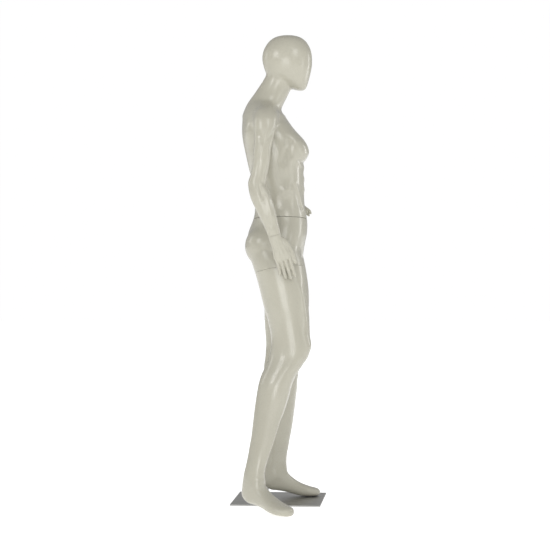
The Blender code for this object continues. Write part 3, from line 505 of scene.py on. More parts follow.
def level_frame(seam):
    """The seam's frame turned so that its +Z points up and its X axis has no sideways part."""
    up = -seam.to_3x3().col[2]
    ahead = Vector((up.z, 0, -up.x)).normalized()
    turn = Matrix((ahead, up.cross(ahead), up)).transposed().to_4x4()
    return Matrix.Translation(seam.to_translation()) @ turn


# Radius of a moulding's rounded edge at its seam.
WAIST_LIP, SHOULDER_LIP, FINE_LIP = 0.0026, 0.0013, 0.0003
LIP_START = 0.0003  # the rounding's first step across the wall
RIM_END = 0.0006  # how far before the wall's inner face the flat rim ends
INNER_FACE = [(WALL, -0.004), (WALL, -0.012)]
CUT_REACH = 0.2  # a seam's plane leaves what lies further than this below the seam's centre
ON_CUT = 2e-5  # a vertex this close to a cut lies on it


def skin_end(radius):
    """How far from the seam's plane the rounding starts."""
    return FIT_GAP / 2 + radius


def rim_rows(radius):
    """The rounding, the rim and the turn to the inner face: across the wall, and towards the seam."""
    return [
        (LIP_START, radius * 0.7),
        (radius, radius),
        (WALL - RIM_END, radius),
        (WALL, radius * 0.5),
    ]


def on_cut(seam, side, radius, verts):
    """Whether all the vertices lie on the cut that a rounding starts from."""
    inward = seam.to_3x3().col[2] * side
    origin = seam.to_translation()
    return all(abs((v.co - origin).dot(inward) - skin_end(radius)) < ON_CUT for v in verts)


def lip(work, seam, side, radius, closed=False):
    """Turns the open edge at a seam in, as a rounded rim with the wall's thickness."""
    inward = seam.to_3x3().col[2] * side
    low = seam.to_translation().z - CUT_REACH
    pairs = []
    for edge in work.edges:
        if edge.is_boundary and edge.verts[0].co.z > low and on_cut(seam, side, radius, edge.verts):
            corner = edge.link_loops[0]
            pairs.append((corner.vert, corner.link_loop_next.vert))
    base = dict.fromkeys(vertex for pair in pairs for vertex in pair)
    across = {}
    for vertex in base:
        flat = vertex.normal - inward * vertex.normal.dot(inward)
        across[vertex] = -flat.normalized()
    ring = {vertex: vertex for vertex in base}
    for reach, down in rim_rows(radius) + ([] if closed else INNER_FACE):
        new_ring = {v: work.verts.new(v.co + across[v] * reach - inward * down) for v in base}
        for a, b in pairs:
            work.faces.new((ring[b], ring[a], new_ring[a], new_ring[b]))
        ring = new_ring
    if closed:
        rim = [work.edges.get((ring[a], ring[b])) for a, b in pairs]
        bmesh.ops.edgeloop_fill(work, edges=rim)


def opened(name, mesh, seams, closed=False):
    """The mesh cut at each (seam frame, side kept, lip radius), with its rims turned in."""
    work = bmesh.new()
    work.from_mesh(mesh)
    for seam, side, radius in seams:
        inward = seam.to_3x3().col[2] * side
        low = seam.to_translation().z - CUT_REACH
        verts = [vertex for vertex in work.verts if vertex.co.z > low]
        edges = [edge for edge in work.edges if all(vertex.co.z > low for vertex in edge.verts)]
        faces = [face for face in work.faces if all(vertex.co.z > low for vertex in face.verts)]
        bmesh.ops.bisect_plane(
            work,
            geom=verts + edges + faces,
            plane_co=seam.to_translation() + inward * skin_end(radius),
            plane_no=-inward,
            clear_outer=True,
        )
        work.normal_update()
        lip(work, seam, side, radius, closed)
    return mesh_of(name, work)


def box_object(name, low, high, matrix):
    work = bmesh.new()
    bmesh.ops.create_cube(work, size=1.0)
    low, high = Vector(low), Vector(high)
    for vertex in work.verts:
        vertex.co = [(low[i] + high[i]) / 2 + vertex.co[i] * (high[i] - low[i]) for i in range(3)]
    made = new_object(name, mesh_of(name, work))
    made.matrix_world = matrix
    return made


def rod_object(name, radius, low, high, matrix):
    work = bmesh.new()
    bmesh.ops.create_cone(
        work, cap_ends=True, segments=64, radius1=radius, radius2=radius, depth=high - low
    )
    bmesh.ops.translate(work, verts=work.verts, vec=(0, 0, (low + high) / 2))
    made = new_object(name, mesh_of(name, work))
    made.matrix_world = matrix
    return made


# ---------------------------------------------------------------- seams
WAIST = seam_frame("waist_turn")
THIGH = seam_frame("right_thigh_turn")  # +Z down, into the loose leg
SHOULDER_R = seam_frame("right_shoulder_turn")  # both shoulders' +Z point to the figure's right
SHOULDER_L = seam_frame("left_shoulder_turn")
WRIST_R = seam_frame("right_wrist_turn")
WRIST_L = seam_frame("left_wrist_turn")

# The grid that joins meshes into one skin, and how many times its corners are softened.
VOXEL, BLEND_ROUNDS = 0.0035, 48
ARM_VOXEL, ARM_ROUNDS = 0.0025, 26
HAND_VOXEL, HAND_ROUNDS = 0.0013, 14
# How many rings each loft is sampled at.
TORSO_RINGS, NECK_RINGS, HEAD_RINGS, YOKE_RINGS = 90, 36, 70, 70
PELVIS_RINGS, LEFT_LEG_RINGS, STUMP_RINGS, RIGHT_LEG_RINGS = 60, 180, 36, 260
RIGHT_ARM_RINGS, UPPER_ARM_RINGS, FOREARM_RINGS, HAND_RINGS = 200, 110, 90, 60
# How many points a ring has.
BODY_RING, LEFT_LEG_RING, RIGHT_LEG_RING = 72, 72, 96
LEFT_ARM_RING, RIGHT_ARM_RING, PALM_RING, FINGER_RING = 56, 72, 64, 36
STUMP_LOW = 860  # rings of the right leg above this height make its stump
# The box that cuts the stump at the thigh's seam, in the seam's level frame; its top is the cut.
STUMP_BOX_LOW, STUMP_BOX_HIGH = (-0.2, -0.2, -0.15), (0.2, 0.087)
BORE_LOW, BORE_CLEARANCE = 0.02, 0.0003  # the spigot's bore in the heel


# ---------------------------------------------------------------- mouldings
def torso_touches():
    """What is modelled on the chest, belly and back."""
    side = [
        ((121, -17, 1384), (8, 7, 7), 2.4),  # the tip and the outer side of the breast
        ((76, 8, 1384), (34, 34, 32), 3.6),
        ((-112, 2, 1452), (30, 30, 36), 4.5),  # the shoulder blade and the hollow below it
        ((-100, 22, 1390), (34, 26, 34), -2.0),
        ((-128, -58, 1300), (40, 20, 90), 2.0),  # beside the spine
        ((4, 36, 1356), (18, 22, 26), 0.5),  # under the armpit
        ((28, 24, 1218), (24, 20, 14), 2.8),  # the lowest rib and the flank above it
        ((30, 24, 1266), (38, 20, 26), -1.6),
        ((88, -48, 1140), (26, 22, 34), 1.2),  # the lower belly
    ]
    # The collarbone and the hollow below it.
    side += line_of((30, -60, 1508), (-8, 30, 1512), 8, (16, 10, 7), 1.3)
    side += line_of((26, -50, 1484), (4, 12, 1486), 6, (16, 10, 10), -0.9)
    # The crease under the breast.
    side += line_of((96, -66, 1330), (94, -36, 1324), 6, (24, 8, 6), -1.0)
    side += line_of((92, -30, 1324), (68, 4, 1333), 7, (16, 9, 6), -1.4)
    # The side of the chest, in front of the armpit.
    side += line_of((40, 34, 1412), (46, 34, 1346), 8, (13, 20, 14), -1.1)
    side += line_of((28, 38, 1380), (12, 38, 1318), 10, (12, 16, 10), -0.8)
    side += line_of((38, 22, 1444), (66, 18, 1402), 6, (13, 16, 12), 1.0)
    # The line from the flank down to the groin, and the belly's muscles.
    side += line_of((50, 10, 1246), (84, -26, 1150), 12, (7, 10, 7), -1.3)
    side += line_of((62, 4, 1244), (94, -30, 1146), 12, (6, 10, 7), 1.4)
    side += line_of((78, -40, 1316), (82, -42, 1190), 12, (14, 6, 9), -0.8)
    for height in (1304, 1262, 1222):
        side.append(((90, -58, height), (13, 14, 14), 2.4))
    # The middle lines of the belly and the spine.
    middle = line_of((100, -85, 1330), (108, -85, 1150), 14, (30, 6, 12), -0.9)
    middle += line_of((-120, -85, 1470), (-108, -85, 1130), 22, (40, 9, 16), -1.5)
    middle += [
        ((112, -85, 1140), (14, 5, 6), -4.5),  # the navel
        ((42, -85, 1512), (16, 12, 10), -2.5),  # the pit of the throat
        ((112, -85, 1384), (30, 14, 50), -2.0),  # between the breasts
    ]
    return both_sides(side, CENTRE_Y / MM) + middle


def lower_touches():
    """What is modelled on the hips, the seat and the standing leg."""
    side = [
        ((62, 14, 1066), (34, 26, 30), 0.9),  # the front of the hip bone
        ((-90, -50, 1070), (24, 12, 14), -2.0),  # the dimple above the seat
        ((0, 82, 1000), (36, 20, 40), -1.8),  # the hollow at the side of the hip
    ]
    # The fold of the groin.
    side += line_of((96, -4, 1000), (76, -56, 940), 10, (20, 9, 12), -0.7)
    left = [
        # The kneecap, what lies below and on both sides of it, and the back of the knee.
        ((78, 20, 545), (28, 28, 28), 1.8),
        ((74, 22, 500), (24, 20, 14), 1.2),
        ((72, 46, 548), (18, 12, 30), -0.8),
        ((74, -8, 548), (18, 12, 30), -0.8),
        ((-56, 12, 560), (22, 26, 20), -0.8),
        ((-8, 54, 92), (18, 12, 18), 2.2),  # the ankle bones
        ((-12, -16, 98), (18, 12, 18), 2.2),
    ]
    # The heel's tendon, the shin, the middle of the calf and the front of the thigh.
    left += line_of((-54, -4, 252), (-52, 12, 120), 8, (22, 10, 16), 0.9)
    left += line_of((66, 22, 450), (36, 26, 200), 16, (16, 9, 16), 0.8)
    left += line_of((-58, 12, 470), (-56, 14, 330), 10, (24, 8, 16), -0.9)
    left += line_of((78, -4, 850), (88, -8, 640), 12, (24, 12, 22), 0.8)
    return both_sides(side, HIP_Y / MM) + left


def seat_mesh(name, y):
    """One round of the seat."""
    work = bmesh.new()
    bmesh.ops.create_uvsphere(work, u_segments=48, v_segments=32, radius=1.0)
    for vertex in work.verts:
        vertex.co = Vector((SEAT_X, y, SEAT_Z)) + vertex.co * SEAT_SIZE
    return mesh_of(name, work)


def make_torso():
    meshes = [
        loft_mesh("chest", level_rings(TORSO, TORSO_RINGS, BODY_RING, CHEST_RISES)),
        loft_mesh("neck", swept_rings(NECK, NECK_RINGS, BODY_RING)),
        loft_mesh("head", level_rings(HEAD, HEAD_RINGS, BODY_RING)),
        loft_mesh("yoke", swept_rings(YOKE, YOKE_RINGS, BODY_RING)),
    ]
    skin = blended("torso", meshes, VOXEL, BLEND_ROUNDS)
    sculpt(skin, torso_touches())
    seams = [(WAIST, 1, WAIST_LIP), (SHOULDER_R, -1, SHOULDER_LIP), (SHOULDER_L, 1, SHOULDER_LIP)]
    return new_object("torso_skin", opened("torso_skin", skin, seams))


def make_lower_body():
    left = leg_table(LEFT_LEG, LEFT_ANKLE, LEFT_FOOT_YAW)
    stump = [row for row in RIGHT_LEG if row[2] > STUMP_LOW]
    meshes = [
        loft_mesh("pelvis", level_rings(PELVIS, PELVIS_RINGS, BODY_RING)),
        loft_mesh("left_leg", placed_rings(left, LEFT_LEG_RINGS, LEFT_LEG_RING)),
        loft_mesh("stump", placed_rings(stump, STUMP_RINGS, LEFT_LEG_RING)),
        seat_mesh("seat_left", HIP_Y + SEAT_OUT),
        seat_mesh("seat_right", HIP_Y - SEAT_OUT),
    ]
    skin = blended("lower", meshes, VOXEL, BLEND_ROUNDS)
    sculpt(skin, lower_touches())
    high = (*STUMP_BOX_HIGH, skin_end(FINE_LIP))
    stump_box = box_object("stump_box", STUMP_BOX_LOW, high, level_frame(THIGH))
    low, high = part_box("heel_socket")
    radius = (high[0] - low[0]) / 2 + BORE_CLEARANCE
    centre = Matrix.Translation(((low[0] + high[0]) / 2, (low[1] + high[1]) / 2, 0))
    bore = rod_object("heel_bore", radius, BORE_LOW, high[2] + BORE_CLEARANCE, centre)
    skin = without("lower", skin, [stump_box, bore])
    return new_object("lower_body_skin", open_thigh(skin))


def open_thigh(mesh):
    """Opens the thigh's cut face, then the waist."""
    work = bmesh.new()
    work.from_mesh(mesh)
    flat = [face for face in work.faces if on_cut(THIGH, -1, FINE_LIP, face.verts)]
    bmesh.ops.delete(work, geom=flat, context="FACES")
    work.normal_update()
    lip(work, THIGH, -1, FINE_LIP)
    work.to_mesh(mesh)
    work.free()
    return opened("lower_body_skin", mesh, [(WAIST, -1, WAIST_LIP)])


def make_right_leg():
    leg = leg_table(RIGHT_LEG, RIGHT_ANKLE, RIGHT_FOOT_YAW)
    skin = loft_mesh("right_leg", placed_rings(leg, RIGHT_LEG_RINGS, RIGHT_LEG_RING))
    touches = [
        # The kneecap, what lies below and on both sides of it, and the back of the knee.
        ((104, -258, 628), (28, 28, 30), 1.8),
        ((96, -262, 582), (24, 20, 16), 1.2),
        ((88, -286, 622), (20, 12, 32), -0.8),
        ((112, -228, 622), (20, 12, 32), -0.8),
        ((-50, -232, 590), (22, 26, 22), -0.4),
        ((-82, -345, 100), (18, 12, 18), 2.4),  # the ankle bones
        ((-118, -290, 106), (18, 12, 18), 2.2),
    ]
    # The shin, the outer ankle, the middle of the calf, the heel's tendon and the front of the thigh.
    touches += line_of((46, -304, 500), (-42, -322, 210), 18, (13, 9, 18), 0.8)
    touches += line_of((-72, -318, 180), (-80, -338, 112), 6, (8, 12, 14), 1.0)
    touches += line_of((-70, -252, 470), (-98, -272, 330), 10, (20, 9, 16), -0.9)
    touches += line_of((-94, -286, 260), (-124, -300, 140), 8, (18, 9, 14), 0.9)
    touches += line_of((80, -250, 850), (96, -256, 690), 12, (22, 12, 20), 0.9)
    sculpt(skin, touches)
    return new_object("right_leg_skin", opened("right_leg_skin", skin, [(THIGH, 1, FINE_LIP)]))


def make_right_arm():
    rows = [RIGHT_ROOT_PAST] + RIGHT_ARM + [RIGHT_WRIST_PAST]
    skin = loft_mesh("right_arm", swept_rings(rows, RIGHT_ARM_RINGS, RIGHT_ARM_RING))
    # The elbow with its hollows, the two sides of the upper arm, and the wrist bone.
    touches = [
        ((-110, -294, 1246), (13, 14, 17), 1.2),
        ((-60, -322, 1246), (11, 10, 12), -1.4),
        ((-50, -286, 1236), (12, 24, 11), -2.0),
        ((-42, -296, 1340), (13, 16, 42), 2.0),
        ((-96, -290, 1350), (14, 18, 50), 1.6),
        ((-30, -324, 1068), (9, 8, 9), 1.8),
    ]
    # The lower edges of the shoulder's muscle, then the lengthwise ones of the arm and the forearm.
    touches += line_of((-14, -278, 1452), (-46, -312, 1392), 10, (8, 10, 7), -1.2)
    touches += line_of((-92, -290, 1452), (-56, -314, 1388), 10, (8, 10, 7), -0.9)
    touches += line_of((-40, -306, 1454), (-72, -318, 1340), 14, (6, 12, 10), 0.8)
    touches += line_of((-76, -326, 1236), (-62, -332, 1186), 8, (5, 10, 9), -1.1)
    touches += line_of((-48, -322, 1206), (-30, -328, 1120), 12, (6, 10, 10), 1.0)
    touches += line_of((-90, -322, 1222), (-44, -326, 1090), 14, (6, 10, 12), 0.7)
    sculpt(skin, touches)
    seams = [(SHOULDER_R, 1, SHOULDER_LIP), (WRIST_R, -1, FINE_LIP)]
    return new_object("right_arm_skin", opened("right_arm_skin", skin, seams))


def make_left_arm():
    upper = [LEFT_ROOT_PAST] + LEFT_UPPER_ARM
    fore = LEFT_FOREARM + [LEFT_WRIST_PAST]
    both = [
        loft_mesh("upper", swept_rings(upper, UPPER_ARM_RINGS, LEFT_ARM_RING)),
        loft_mesh("fore", swept_rings(fore, FOREARM_RINGS, LEFT_ARM_RING)),
    ]
    skin = blended("left_arm", both, ARM_VOXEL, ARM_ROUNDS)
    # The elbow, the two sides of the upper arm, and the wrist bone.
    touches = [
        ((-80, 286, 1262), (13, 13, 13), 2.2),
        ((-44, 200, 1352), (13, 40, 34), 1.6),
        ((-96, 190, 1336), (14, 40, 34), 1.4),
        ((-40, 104, 1222), (9, 9, 8), 1.6),
    ]
    # The lower edge of the shoulder's muscle, and the crook of the arm.
    touches += line_of((-14, 108, 1446), (-44, 152, 1416), 10, (8, 9, 8), -1.2)
    touches += line_of((-56, 250, 1286), (-30, 170, 1250), 10, (10, 12, 7), -0.9)
    sculpt(skin, touches)
    seams = [(SHOULDER_L, -1, SHOULDER_LIP), (WRIST_L, -1, FINE_LIP)]
    return new_object("left_arm_skin", opened("left_arm_skin", skin, seams))


# ---------------------------------------------------------------- hands
def tube_rows(points):
    return [(x, y, z, r, r, r, 2.0) for x, y, z, r in points]


def finger_rows(root, along, length, radius, lean, curl):
    """A finger's path, bending towards the palm by curl degrees at each of its joints."""
    points = []
    x, y, z, bend, last = root, FINGER_ROOT_Y, along - FINGER_ROOT, 0.0, 0.0
    for share, width in zip(FINGER_SHARES, FINGER_WIDTHS):
        step = (share - last) * length + (FINGER_ROOT if share == FINGER_SHARES[1] else 0.0)
        x += step * math.sin(math.radians(lean))
        y -= step * math.sin(math.radians(bend))
        z += step * math.cos(math.radians(bend))
        points.append((x, y, z, radius * width))
        if share in KNUCKLE_SHARES:
            bend += curl
        last = share
    return tube_rows(points)


def hand_touches(fingers):
    """Knuckles and tendons on the back, the hollow of the palm, and a nail at each fingertip."""
    touches = [((0, -14, 50), (20, 8, 26), -2.0), ((26, -14, 34), (12, 8, 22), 1.5)]
    for rows in fingers:
        knuckle, middle, last, tip = rows[1], rows[3], rows[5], rows[6]
        touches.append(((knuckle[0], knuckle[1] + 8, knuckle[2]), (7, 6, 8), 1.3))
        touches.append(((middle[0], middle[1] + 7, middle[2]), (7, 5, 6), 0.7))
        touches.append(((last[0], last[1] + 6, last[2]), (6, 4, 4), 0.4))
        tendon = (knuckle[0] * 0.6, 12, 20), (knuckle[0], 10, knuckle[2] - 8)
        touches += line_of(*tendon, 8, (3.5, 8, 8), 0.35)
        nail = [(tip[i] + last[i]) / 2 for i in range(3)]
        touches.append(((nail[0], nail[1] + 6, nail[2] + 3), (4.0, 3, 6), 0.5))
    return touches


def hand_mesh(name, curls, mirror, placed):
    """A hand, shaped in a frame of its own and then placed.

    Its +Z points to the fingertips, its +Y out of the back of the hand, and its +X to the thumb's side;
    a mirrored hand's thumb is at -X.
    """
    palm = [(x, y, z, wide, wide, thick, 2.3) for x, y, z, wide, thick in PALM]
    fingers = [finger_rows(*finger, curl) for finger, curl in zip(FINGERS, curls)]
    meshes = [loft_mesh("palm", swept_rings(palm, HAND_RINGS, PALM_RING))]
    for rows in fingers + [tube_rows(THUMB)]:
        meshes.append(loft_mesh("finger", swept_rings(rows, HAND_RINGS, FINGER_RING)))
    made = blended(name, meshes, HAND_VOXEL, HAND_ROUNDS)
    sculpt(made, hand_touches(fingers))
    if mirror:
        made.transform(Matrix.Scale(-1, 4, (1, 0, 0)))
        made.flip_normals()
    made.transform(placed)
    return made


def hand_frame(wrist, fingers, thumb):
    """The frame of a hand at the wrist, from the ways its fingers and its thumb side point."""
    along = Vector(fingers).normalized()
    back = along.cross(Vector(thumb)).normalized()
    across = back.cross(along)
    turn = Matrix((across, back, along)).transposed().to_4x4()
    return Matrix.Translation(wrist) @ turn


def make_hand(side, seam, fingers, thumb, mirror, curls):
    placed = hand_frame(seam.to_translation(), fingers, thumb)
    skin = hand_mesh(f"{side}_hand", curls, mirror, placed)
    name = f"{side}_hand_skin"
    return new_object(name, opened(name, skin, [(seam, 1, FINE_LIP)], closed=True))


# ---------------------------------------------------------------- materials
def shader_of(name):
    made = bpy.data.materials.new(name)
    made.use_nodes = True
    tree = made.node_tree
    return made, tree, tree.nodes["Principled BSDF"]


def noise(tree, scale, detail=2.0, stretch=None):
    """A noise texture in the object's own metres, stretched along an axis where asked."""
    coords = tree.nodes.new("ShaderNodeTexCoord")
    texture = tree.nodes.new("ShaderNodeTexNoise")
    texture.inputs["Scale"].default_value = scale
    texture.inputs["Detail"].default_value = detail
    vector = coords.outputs["Object"]
    if stretch:
        mapping = tree.nodes.new("ShaderNodeMapping")
        mapping.inputs["Scale"].default_value = stretch["scale"]
        mapping.inputs["Rotation"].default_value = stretch["turn"]
        tree.links.new(vector, mapping.inputs["Vector"])
        vector = mapping.outputs["Vector"]
    tree.links.new(vector, texture.inputs["Vector"])
    return texture.outputs["Fac"]


def ramp(tree, value, low, high, first, last):
    """The value's stretch from low to high turned into the colours, or levels, from first to last.

    Inputs 7 to 10 of the node are its from and to ends as vectors.
    """
    mapped = tree.nodes.new("ShaderNodeMapRange")
    mapped.data_type = "FLOAT_VECTOR"
    spread = tree.nodes.new("ShaderNodeCombineXYZ")
    for axis in "XYZ":
        tree.links.new(value, spread.inputs[axis])
    tree.links.new(spread.outputs["Vector"], mapped.inputs["Vector"])
    mapped.inputs[7].default_value = (low, low, low)
    mapped.inputs[8].default_value = (high, high, high)
    mapped.inputs[9].default_value = first if isinstance(first, tuple) else (first,) * 3
    mapped.inputs[10].default_value = last if isinstance(last, tuple) else (last,) * 3
    return mapped.outputs["Vector"]


def bump(tree, shader, height, strength, distance, below=None):
    made = tree.nodes.new("ShaderNodeBump")
    made.inputs["Strength"].default_value = strength
    made.inputs["Distance"].default_value = distance
    tree.links.new(height, made.inputs["Height"])
    if below:
        tree.links.new(below.outputs["Normal"], made.inputs["Normal"])
    tree.links.new(made.outputs["Normal"], shader.inputs["Normal"])
    return made


def cream_plastic(name, painted_shade_tone, gloss):
    """Glossy moulded plastic: a hardly uneven cream, the faint waviness of a moulding and a clear gloss.

    The tone darkens the colour of the piece up to the neck as painted shade; tone and gloss are those of
    the piece up to the neck, where they pass into the head's.
    """
    made, tree, shader = shader_of(name)
    cloud = noise(tree, 7.0, 3.0)
    colour = ramp(tree, cloud, *NOISE_SPAN, CREAM_DARK, CREAM_LIGHT)
    coords = tree.nodes.new("ShaderNodeTexCoord")
    place = tree.nodes.new("ShaderNodeSeparateXYZ")
    tree.links.new(coords.outputs["Object"], place.inputs["Vector"])
    # Painted shade: below the neck the colour is darkened by the piece's tone, standing in for the shade on
    # the trunk, and it passes into the head's unshaded colour.
    painted_shade_by_height = ramp(tree, place.outputs["Z"], *NECK_SPAN, painted_shade_tone, HEAD_TONE)
    product = tree.nodes.new("ShaderNodeVectorMath")
    product.operation = "MULTIPLY"
    tree.links.new(colour, product.inputs[0])
    tree.links.new(painted_shade_by_height, product.inputs[1])
    tree.links.new(product.outputs["Vector"], shader.inputs["Base Color"])
    grain = noise(tree, 420.0, 2.0)
    tree.links.new(ramp(tree, grain, *NOISE_SPAN, 0.25, 0.31), shader.inputs["Roughness"])
    coat = ramp(tree, place.outputs["Z"], *NECK_SPAN, gloss, HEAD_GLOSS)
    tree.links.new(coat, shader.inputs["Coat Weight"])
    shader.inputs["Coat Roughness"].default_value = 0.15
    shader.inputs["Specular IOR Level"].default_value = 0.35
    wave = bump(tree, shader, noise(tree, 22.0, 1.0), 0.14, 0.0014)
    bump(tree, shader, grain, 0.05, 0.0002, wave)
    return made


def brushed_steel():
    """Ground steel sheet: fine scratches along one side, with a few deeper ones."""
    made, tree, shader = shader_of("brushed_steel")
    fine = noise(tree, 900.0, 3.0, {"scale": (0.012, 1.0, 1.0), "turn": (0, 0, GRAIN_TURN)})
    broad = noise(tree, 60.0, 3.0, {"scale": (0.03, 1.0, 1.0), "turn": (0, 0, GRAIN_TURN)})
    tree.links.new(ramp(tree, broad, *NOISE_SPAN, STEEL_DARK, STEEL_LIGHT), shader.inputs["Base Color"])
    tree.links.new(ramp(tree, fine, *NOISE_SPAN, 0.28, 0.46), shader.inputs["Roughness"])
    shader.inputs["Metallic"].default_value = 1.0
    shader.inputs["Anisotropic"].default_value = 0.5
    bump(tree, shader, fine, 0.25, 0.0002)
    return made


def plated_zinc():
    """Zinc-plated steel with a soft crystalline mottle."""
    made, tree, shader = shader_of("plated_zinc")
    mottle = noise(tree, 260.0, 4.0)
    tree.links.new(ramp(tree, mottle, *NOISE_CORE, ZINC_DARK, ZINC_LIGHT), shader.inputs["Base Color"])
    tree.links.new(ramp(tree, mottle, *NOISE_SPAN, 0.24, 0.40), shader.inputs["Roughness"])
    shader.inputs["Metallic"].default_value = 1.0
    bump(tree, shader, noise(tree, 900.0, 2.0), 0.15, 0.0002)
    return made


def grey_board():
    """Matte grey board with a fine fleck."""
    made, tree, shader = shader_of("grey_board")
    fleck = noise(tree, 700.0, 3.0)
    tree.links.new(ramp(tree, fleck, *NOISE_CORE, BOARD_DARK, BOARD_LIGHT), shader.inputs["Base Color"])
    shader.inputs["Roughness"].default_value = 0.62
    bump(tree, shader, fleck, 0.3, 0.0003)
    return made


def pad_rubber():
    """Dark foam rubber with open pores."""
    made, tree, shader = shader_of("pad_rubber")
    pores = noise(tree, 1500.0, 2.0)
    tree.links.new(ramp(tree, pores, *NOISE_SPAN, RUBBER_DARK, RUBBER_LIGHT), shader.inputs["Base Color"])
    shader.inputs["Roughness"].default_value = 0.85
    bump(tree, shader, pores, 0.5, 0.0004)
    return made


CREAM_DARK, CREAM_LIGHT = (0.405, 0.390, 0.322), (0.435, 0.420, 0.348)
STEEL_DARK, STEEL_LIGHT = (0.40, 0.40, 0.385), (0.48, 0.475, 0.46)
ZINC_DARK, ZINC_LIGHT = (0.50, 0.51, 0.50), (0.66, 0.66, 0.63)
BOARD_DARK, BOARD_LIGHT = (0.36, 0.355, 0.34), (0.50, 0.495, 0.475)
RUBBER_DARK, RUBBER_LIGHT = (0.018, 0.018, 0.018), (0.045, 0.045, 0.045)
NOISE_SPAN, NOISE_CORE = (0.3, 0.7), (0.35, 0.65)  # most of a noise's values, and the middle ones
GRAIN_TURN = math.radians(5.5)  # turns the noise that the steel's scratches are drawn from
NECK_SPAN = 1.50, 1.62  # heights between which the trunk's painted shade and gloss pass into the head's


# ---------------------------------------------------------------- the figure
def dress_nodes():
    """A material for every frame node that stays in view."""
    finishes = {
        "board": grey_board(),
        "pad": pad_rubber(),
        "steel": brushed_steel(),
        "zinc": plated_zinc(),
    }
    for name, node in frame["nodes"].items():
        if name in REPLACED:
            continue
        kind = "zinc"
        if name.endswith("_board"):
            kind = "board"
        elif name.startswith("pad_"):
            kind = "pad"
        elif name in ("base_plate", "spigot_rod"):
            kind = "steel"
        for slot in node.material_slots:
            slot.material = finishes[kind]


# Which way the fingers and the thumb's side point, whether it is mirrored, and how far each finger curls.
RIGHT_HAND = (0.317, 0.0, -0.948), (0.948, 0.0, 0.317), False, (6.0, 7.0, 7.0, 8.0)
LEFT_HAND = (0.90, -0.22, -0.31), (-0.18, 0.90, -0.36), True, (15.0, 9.0, 11.0, 14.0)

REPLACED = {
    "torso_shell": ("torso", make_torso),
    "lower_body_shell": ("lower_body", make_lower_body),
    "right_leg_shell": ("right_leg", make_right_leg),
    "right_arm_shell": ("right_arm", make_right_arm),
    "left_arm_shell": ("left_arm", make_left_arm),
    "right_hand": ("right_hand", lambda: make_hand("right", WRIST_R, *RIGHT_HAND)),
    "left_hand": ("left_hand", lambda: make_hand("left", WRIST_L, *LEFT_HAND)),
}

# The trunk's two mouldings carry painted shade: their colour is 3% darker than the limbs' and the head's,
# standing in for the shade on the trunk. The chest is glossier.
HEAD_TONE, HEAD_GLOSS = 1.0, 0.20
TRUNK_PLASTICS_WITH_PAINTED_SHADE = {
    "torso": cream_plastic("cream_torso_painted_shade", 0.97, 0.44),
    "lower_body": cream_plastic("cream_hips_painted_shade", 0.97, 0.24),
}
LIMBS = cream_plastic("cream_limbs", 1.0, 0.32)
for node, (body, make) in REPLACED.items():
    piece = make()
    piece.data.materials.clear()
    piece.data.materials.append(TRUNK_PLASTICS_WITH_PAINTED_SHADE.get(body, LIMBS))
    piece.data.shade_smooth()
    piece.data.set_sharp_from_angle(angle=SHARP_ANGLE)
    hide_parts(node)
    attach(piece, body)
dress_nodes()


# ---------------------------------------------------------------- floor, light and camera
def aim(thing, target):
    thing.rotation_euler = (Vector(target) - thing.location).to_track_quat("-Z", "Y").to_euler()


def soft_light(name, place, target, wide, high, power):
    light = bpy.data.lights.new(name, "AREA")
    light.shape = "RECTANGLE"
    light.size, light.size_y = wide, high
    light.energy = power
    made = new_object(name, light)
    made.location = place
    aim(made, target)


def glowing(name, colour, glow):
    made, tree, shader = shader_of(name)
    shader.inputs["Base Color"].default_value = (colour, colour, colour, 1)
    shader.inputs["Roughness"].default_value = 0.9
    shader.inputs["Specular IOR Level"].default_value = 0.1
    shader.inputs["Emission Color"].default_value = (1, 1, 1, 1)
    shader.inputs["Emission Strength"].default_value = glow
    return made, tree, shader


def make_floor():
    """A white floor that meets a white backdrop all round."""
    work = bmesh.new()
    bmesh.ops.create_circle(work, cap_ends=True, segments=96, radius=STUDIO)
    floor = new_object("floor", mesh_of("floor", work))
    made, tree, shader = glowing("floor_white", FLOOR_WHITE, FLOOR_GLOW)
    coords = tree.nodes.new("ShaderNodeTexCoord")
    reach = tree.nodes.new("ShaderNodeVectorMath")
    reach.operation = "LENGTH"
    tree.links.new(coords.outputs["Object"], reach.inputs[0])
    glow = ramp(tree, reach.outputs["Value"], *GLOW_SPAN, FLOOR_GLOW, FAR_GLOW)
    tree.links.new(glow, shader.inputs["Emission Strength"])
    floor.data.materials.append(made)


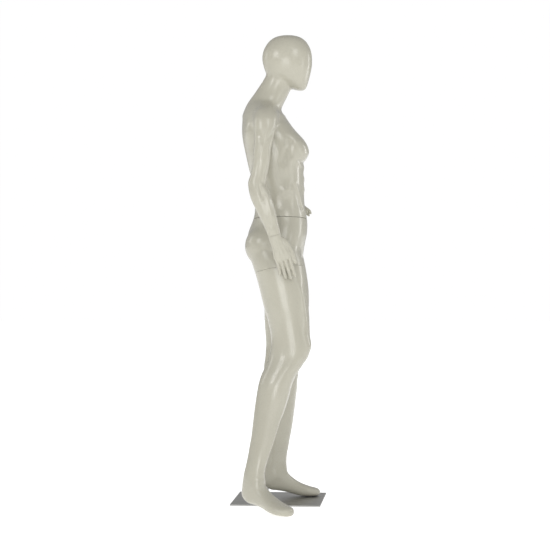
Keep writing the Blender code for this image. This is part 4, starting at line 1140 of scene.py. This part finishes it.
def make_backdrop():
    """A dome that is only seen, and neither lights the figure nor shows in its gloss."""
    work = bmesh.new()
    bmesh.ops.create_icosphere(work, subdivisions=5, radius=STUDIO)
    backdrop = new_object("backdrop", mesh_of("backdrop", work))
    backdrop.data.materials.append(glowing("backdrop_white", 0.0, 1.0)[0])
    backdrop.visible_diffuse = False
    backdrop.visible_glossy = False
    backdrop.visible_shadow = False


def make_world():
    world = bpy.data.worlds.new("studio")
    bpy.context.scene.world = world
    world.use_nodes = True
    background = world.node_tree.nodes["Background"]
    background.inputs["Color"].default_value = (1, 1, 1, 1)
    background.inputs["Strength"].default_value = WORLD


def make_camera():
    camera = bpy.data.cameras.new("camera")
    camera.sensor_width = 36.0
    camera.lens = CAMERA_LENS
    made = new_object("camera", camera)
    made.location = CAMERA_PLACE
    made.rotation_euler = (math.radians(90 - CAMERA_DIP), 0, 0)
    bpy.context.scene.camera = made


WORLD, FLOOR_GLOW, FAR_GLOW = 0.42, 0.62, 0.82
FLOOR_WHITE = 0.92
GLOW_SPAN = 1.0, 4.0  # distances between which the floor's glow grows to its far value
STUDIO = 14.0  # radius
CAMERA_PLACE, CAMERA_LENS = (-0.016, -7.1, 1.07), 118.1
CAMERA_DIP = 1.46  # degrees below level
# The soft lights: name, place, what it is aimed at, width, height and power in watts.
LIGHTS = [
    ("left_softbox", (-2.8, -3.3, 3.2), (0, 0, 1.1), 1.4, 1.4, 39),
    ("right_softbox", (2.1, -3.8, 3.8), (0, 0, 1.1), 1.5, 1.5, 38),
    ("front_softbox", (-0.6, -6.3, 1.8), (0, 0, 0.8), 2.6, 2.0, 86),
    ("left_strip", (-3.0, 0.6, 2.2), (0, 0, 1.4), 0.4, 1.4, 8),
    ("right_strip", (3.0, -1.8, 1.65), (0, 0, 1.2), 0.4, 1.5, 7.5),
    ("rear_strip", (2.9, 0.8, 1.7), (0, 0, 1.3), 0.3, 1.6, 13),
]
make_floor()
make_backdrop()
make_world()
for light_row in LIGHTS:
    soft_light(*light_row)
make_camera()
bpy.context.scene.view_settings.view_transform = "Standard"
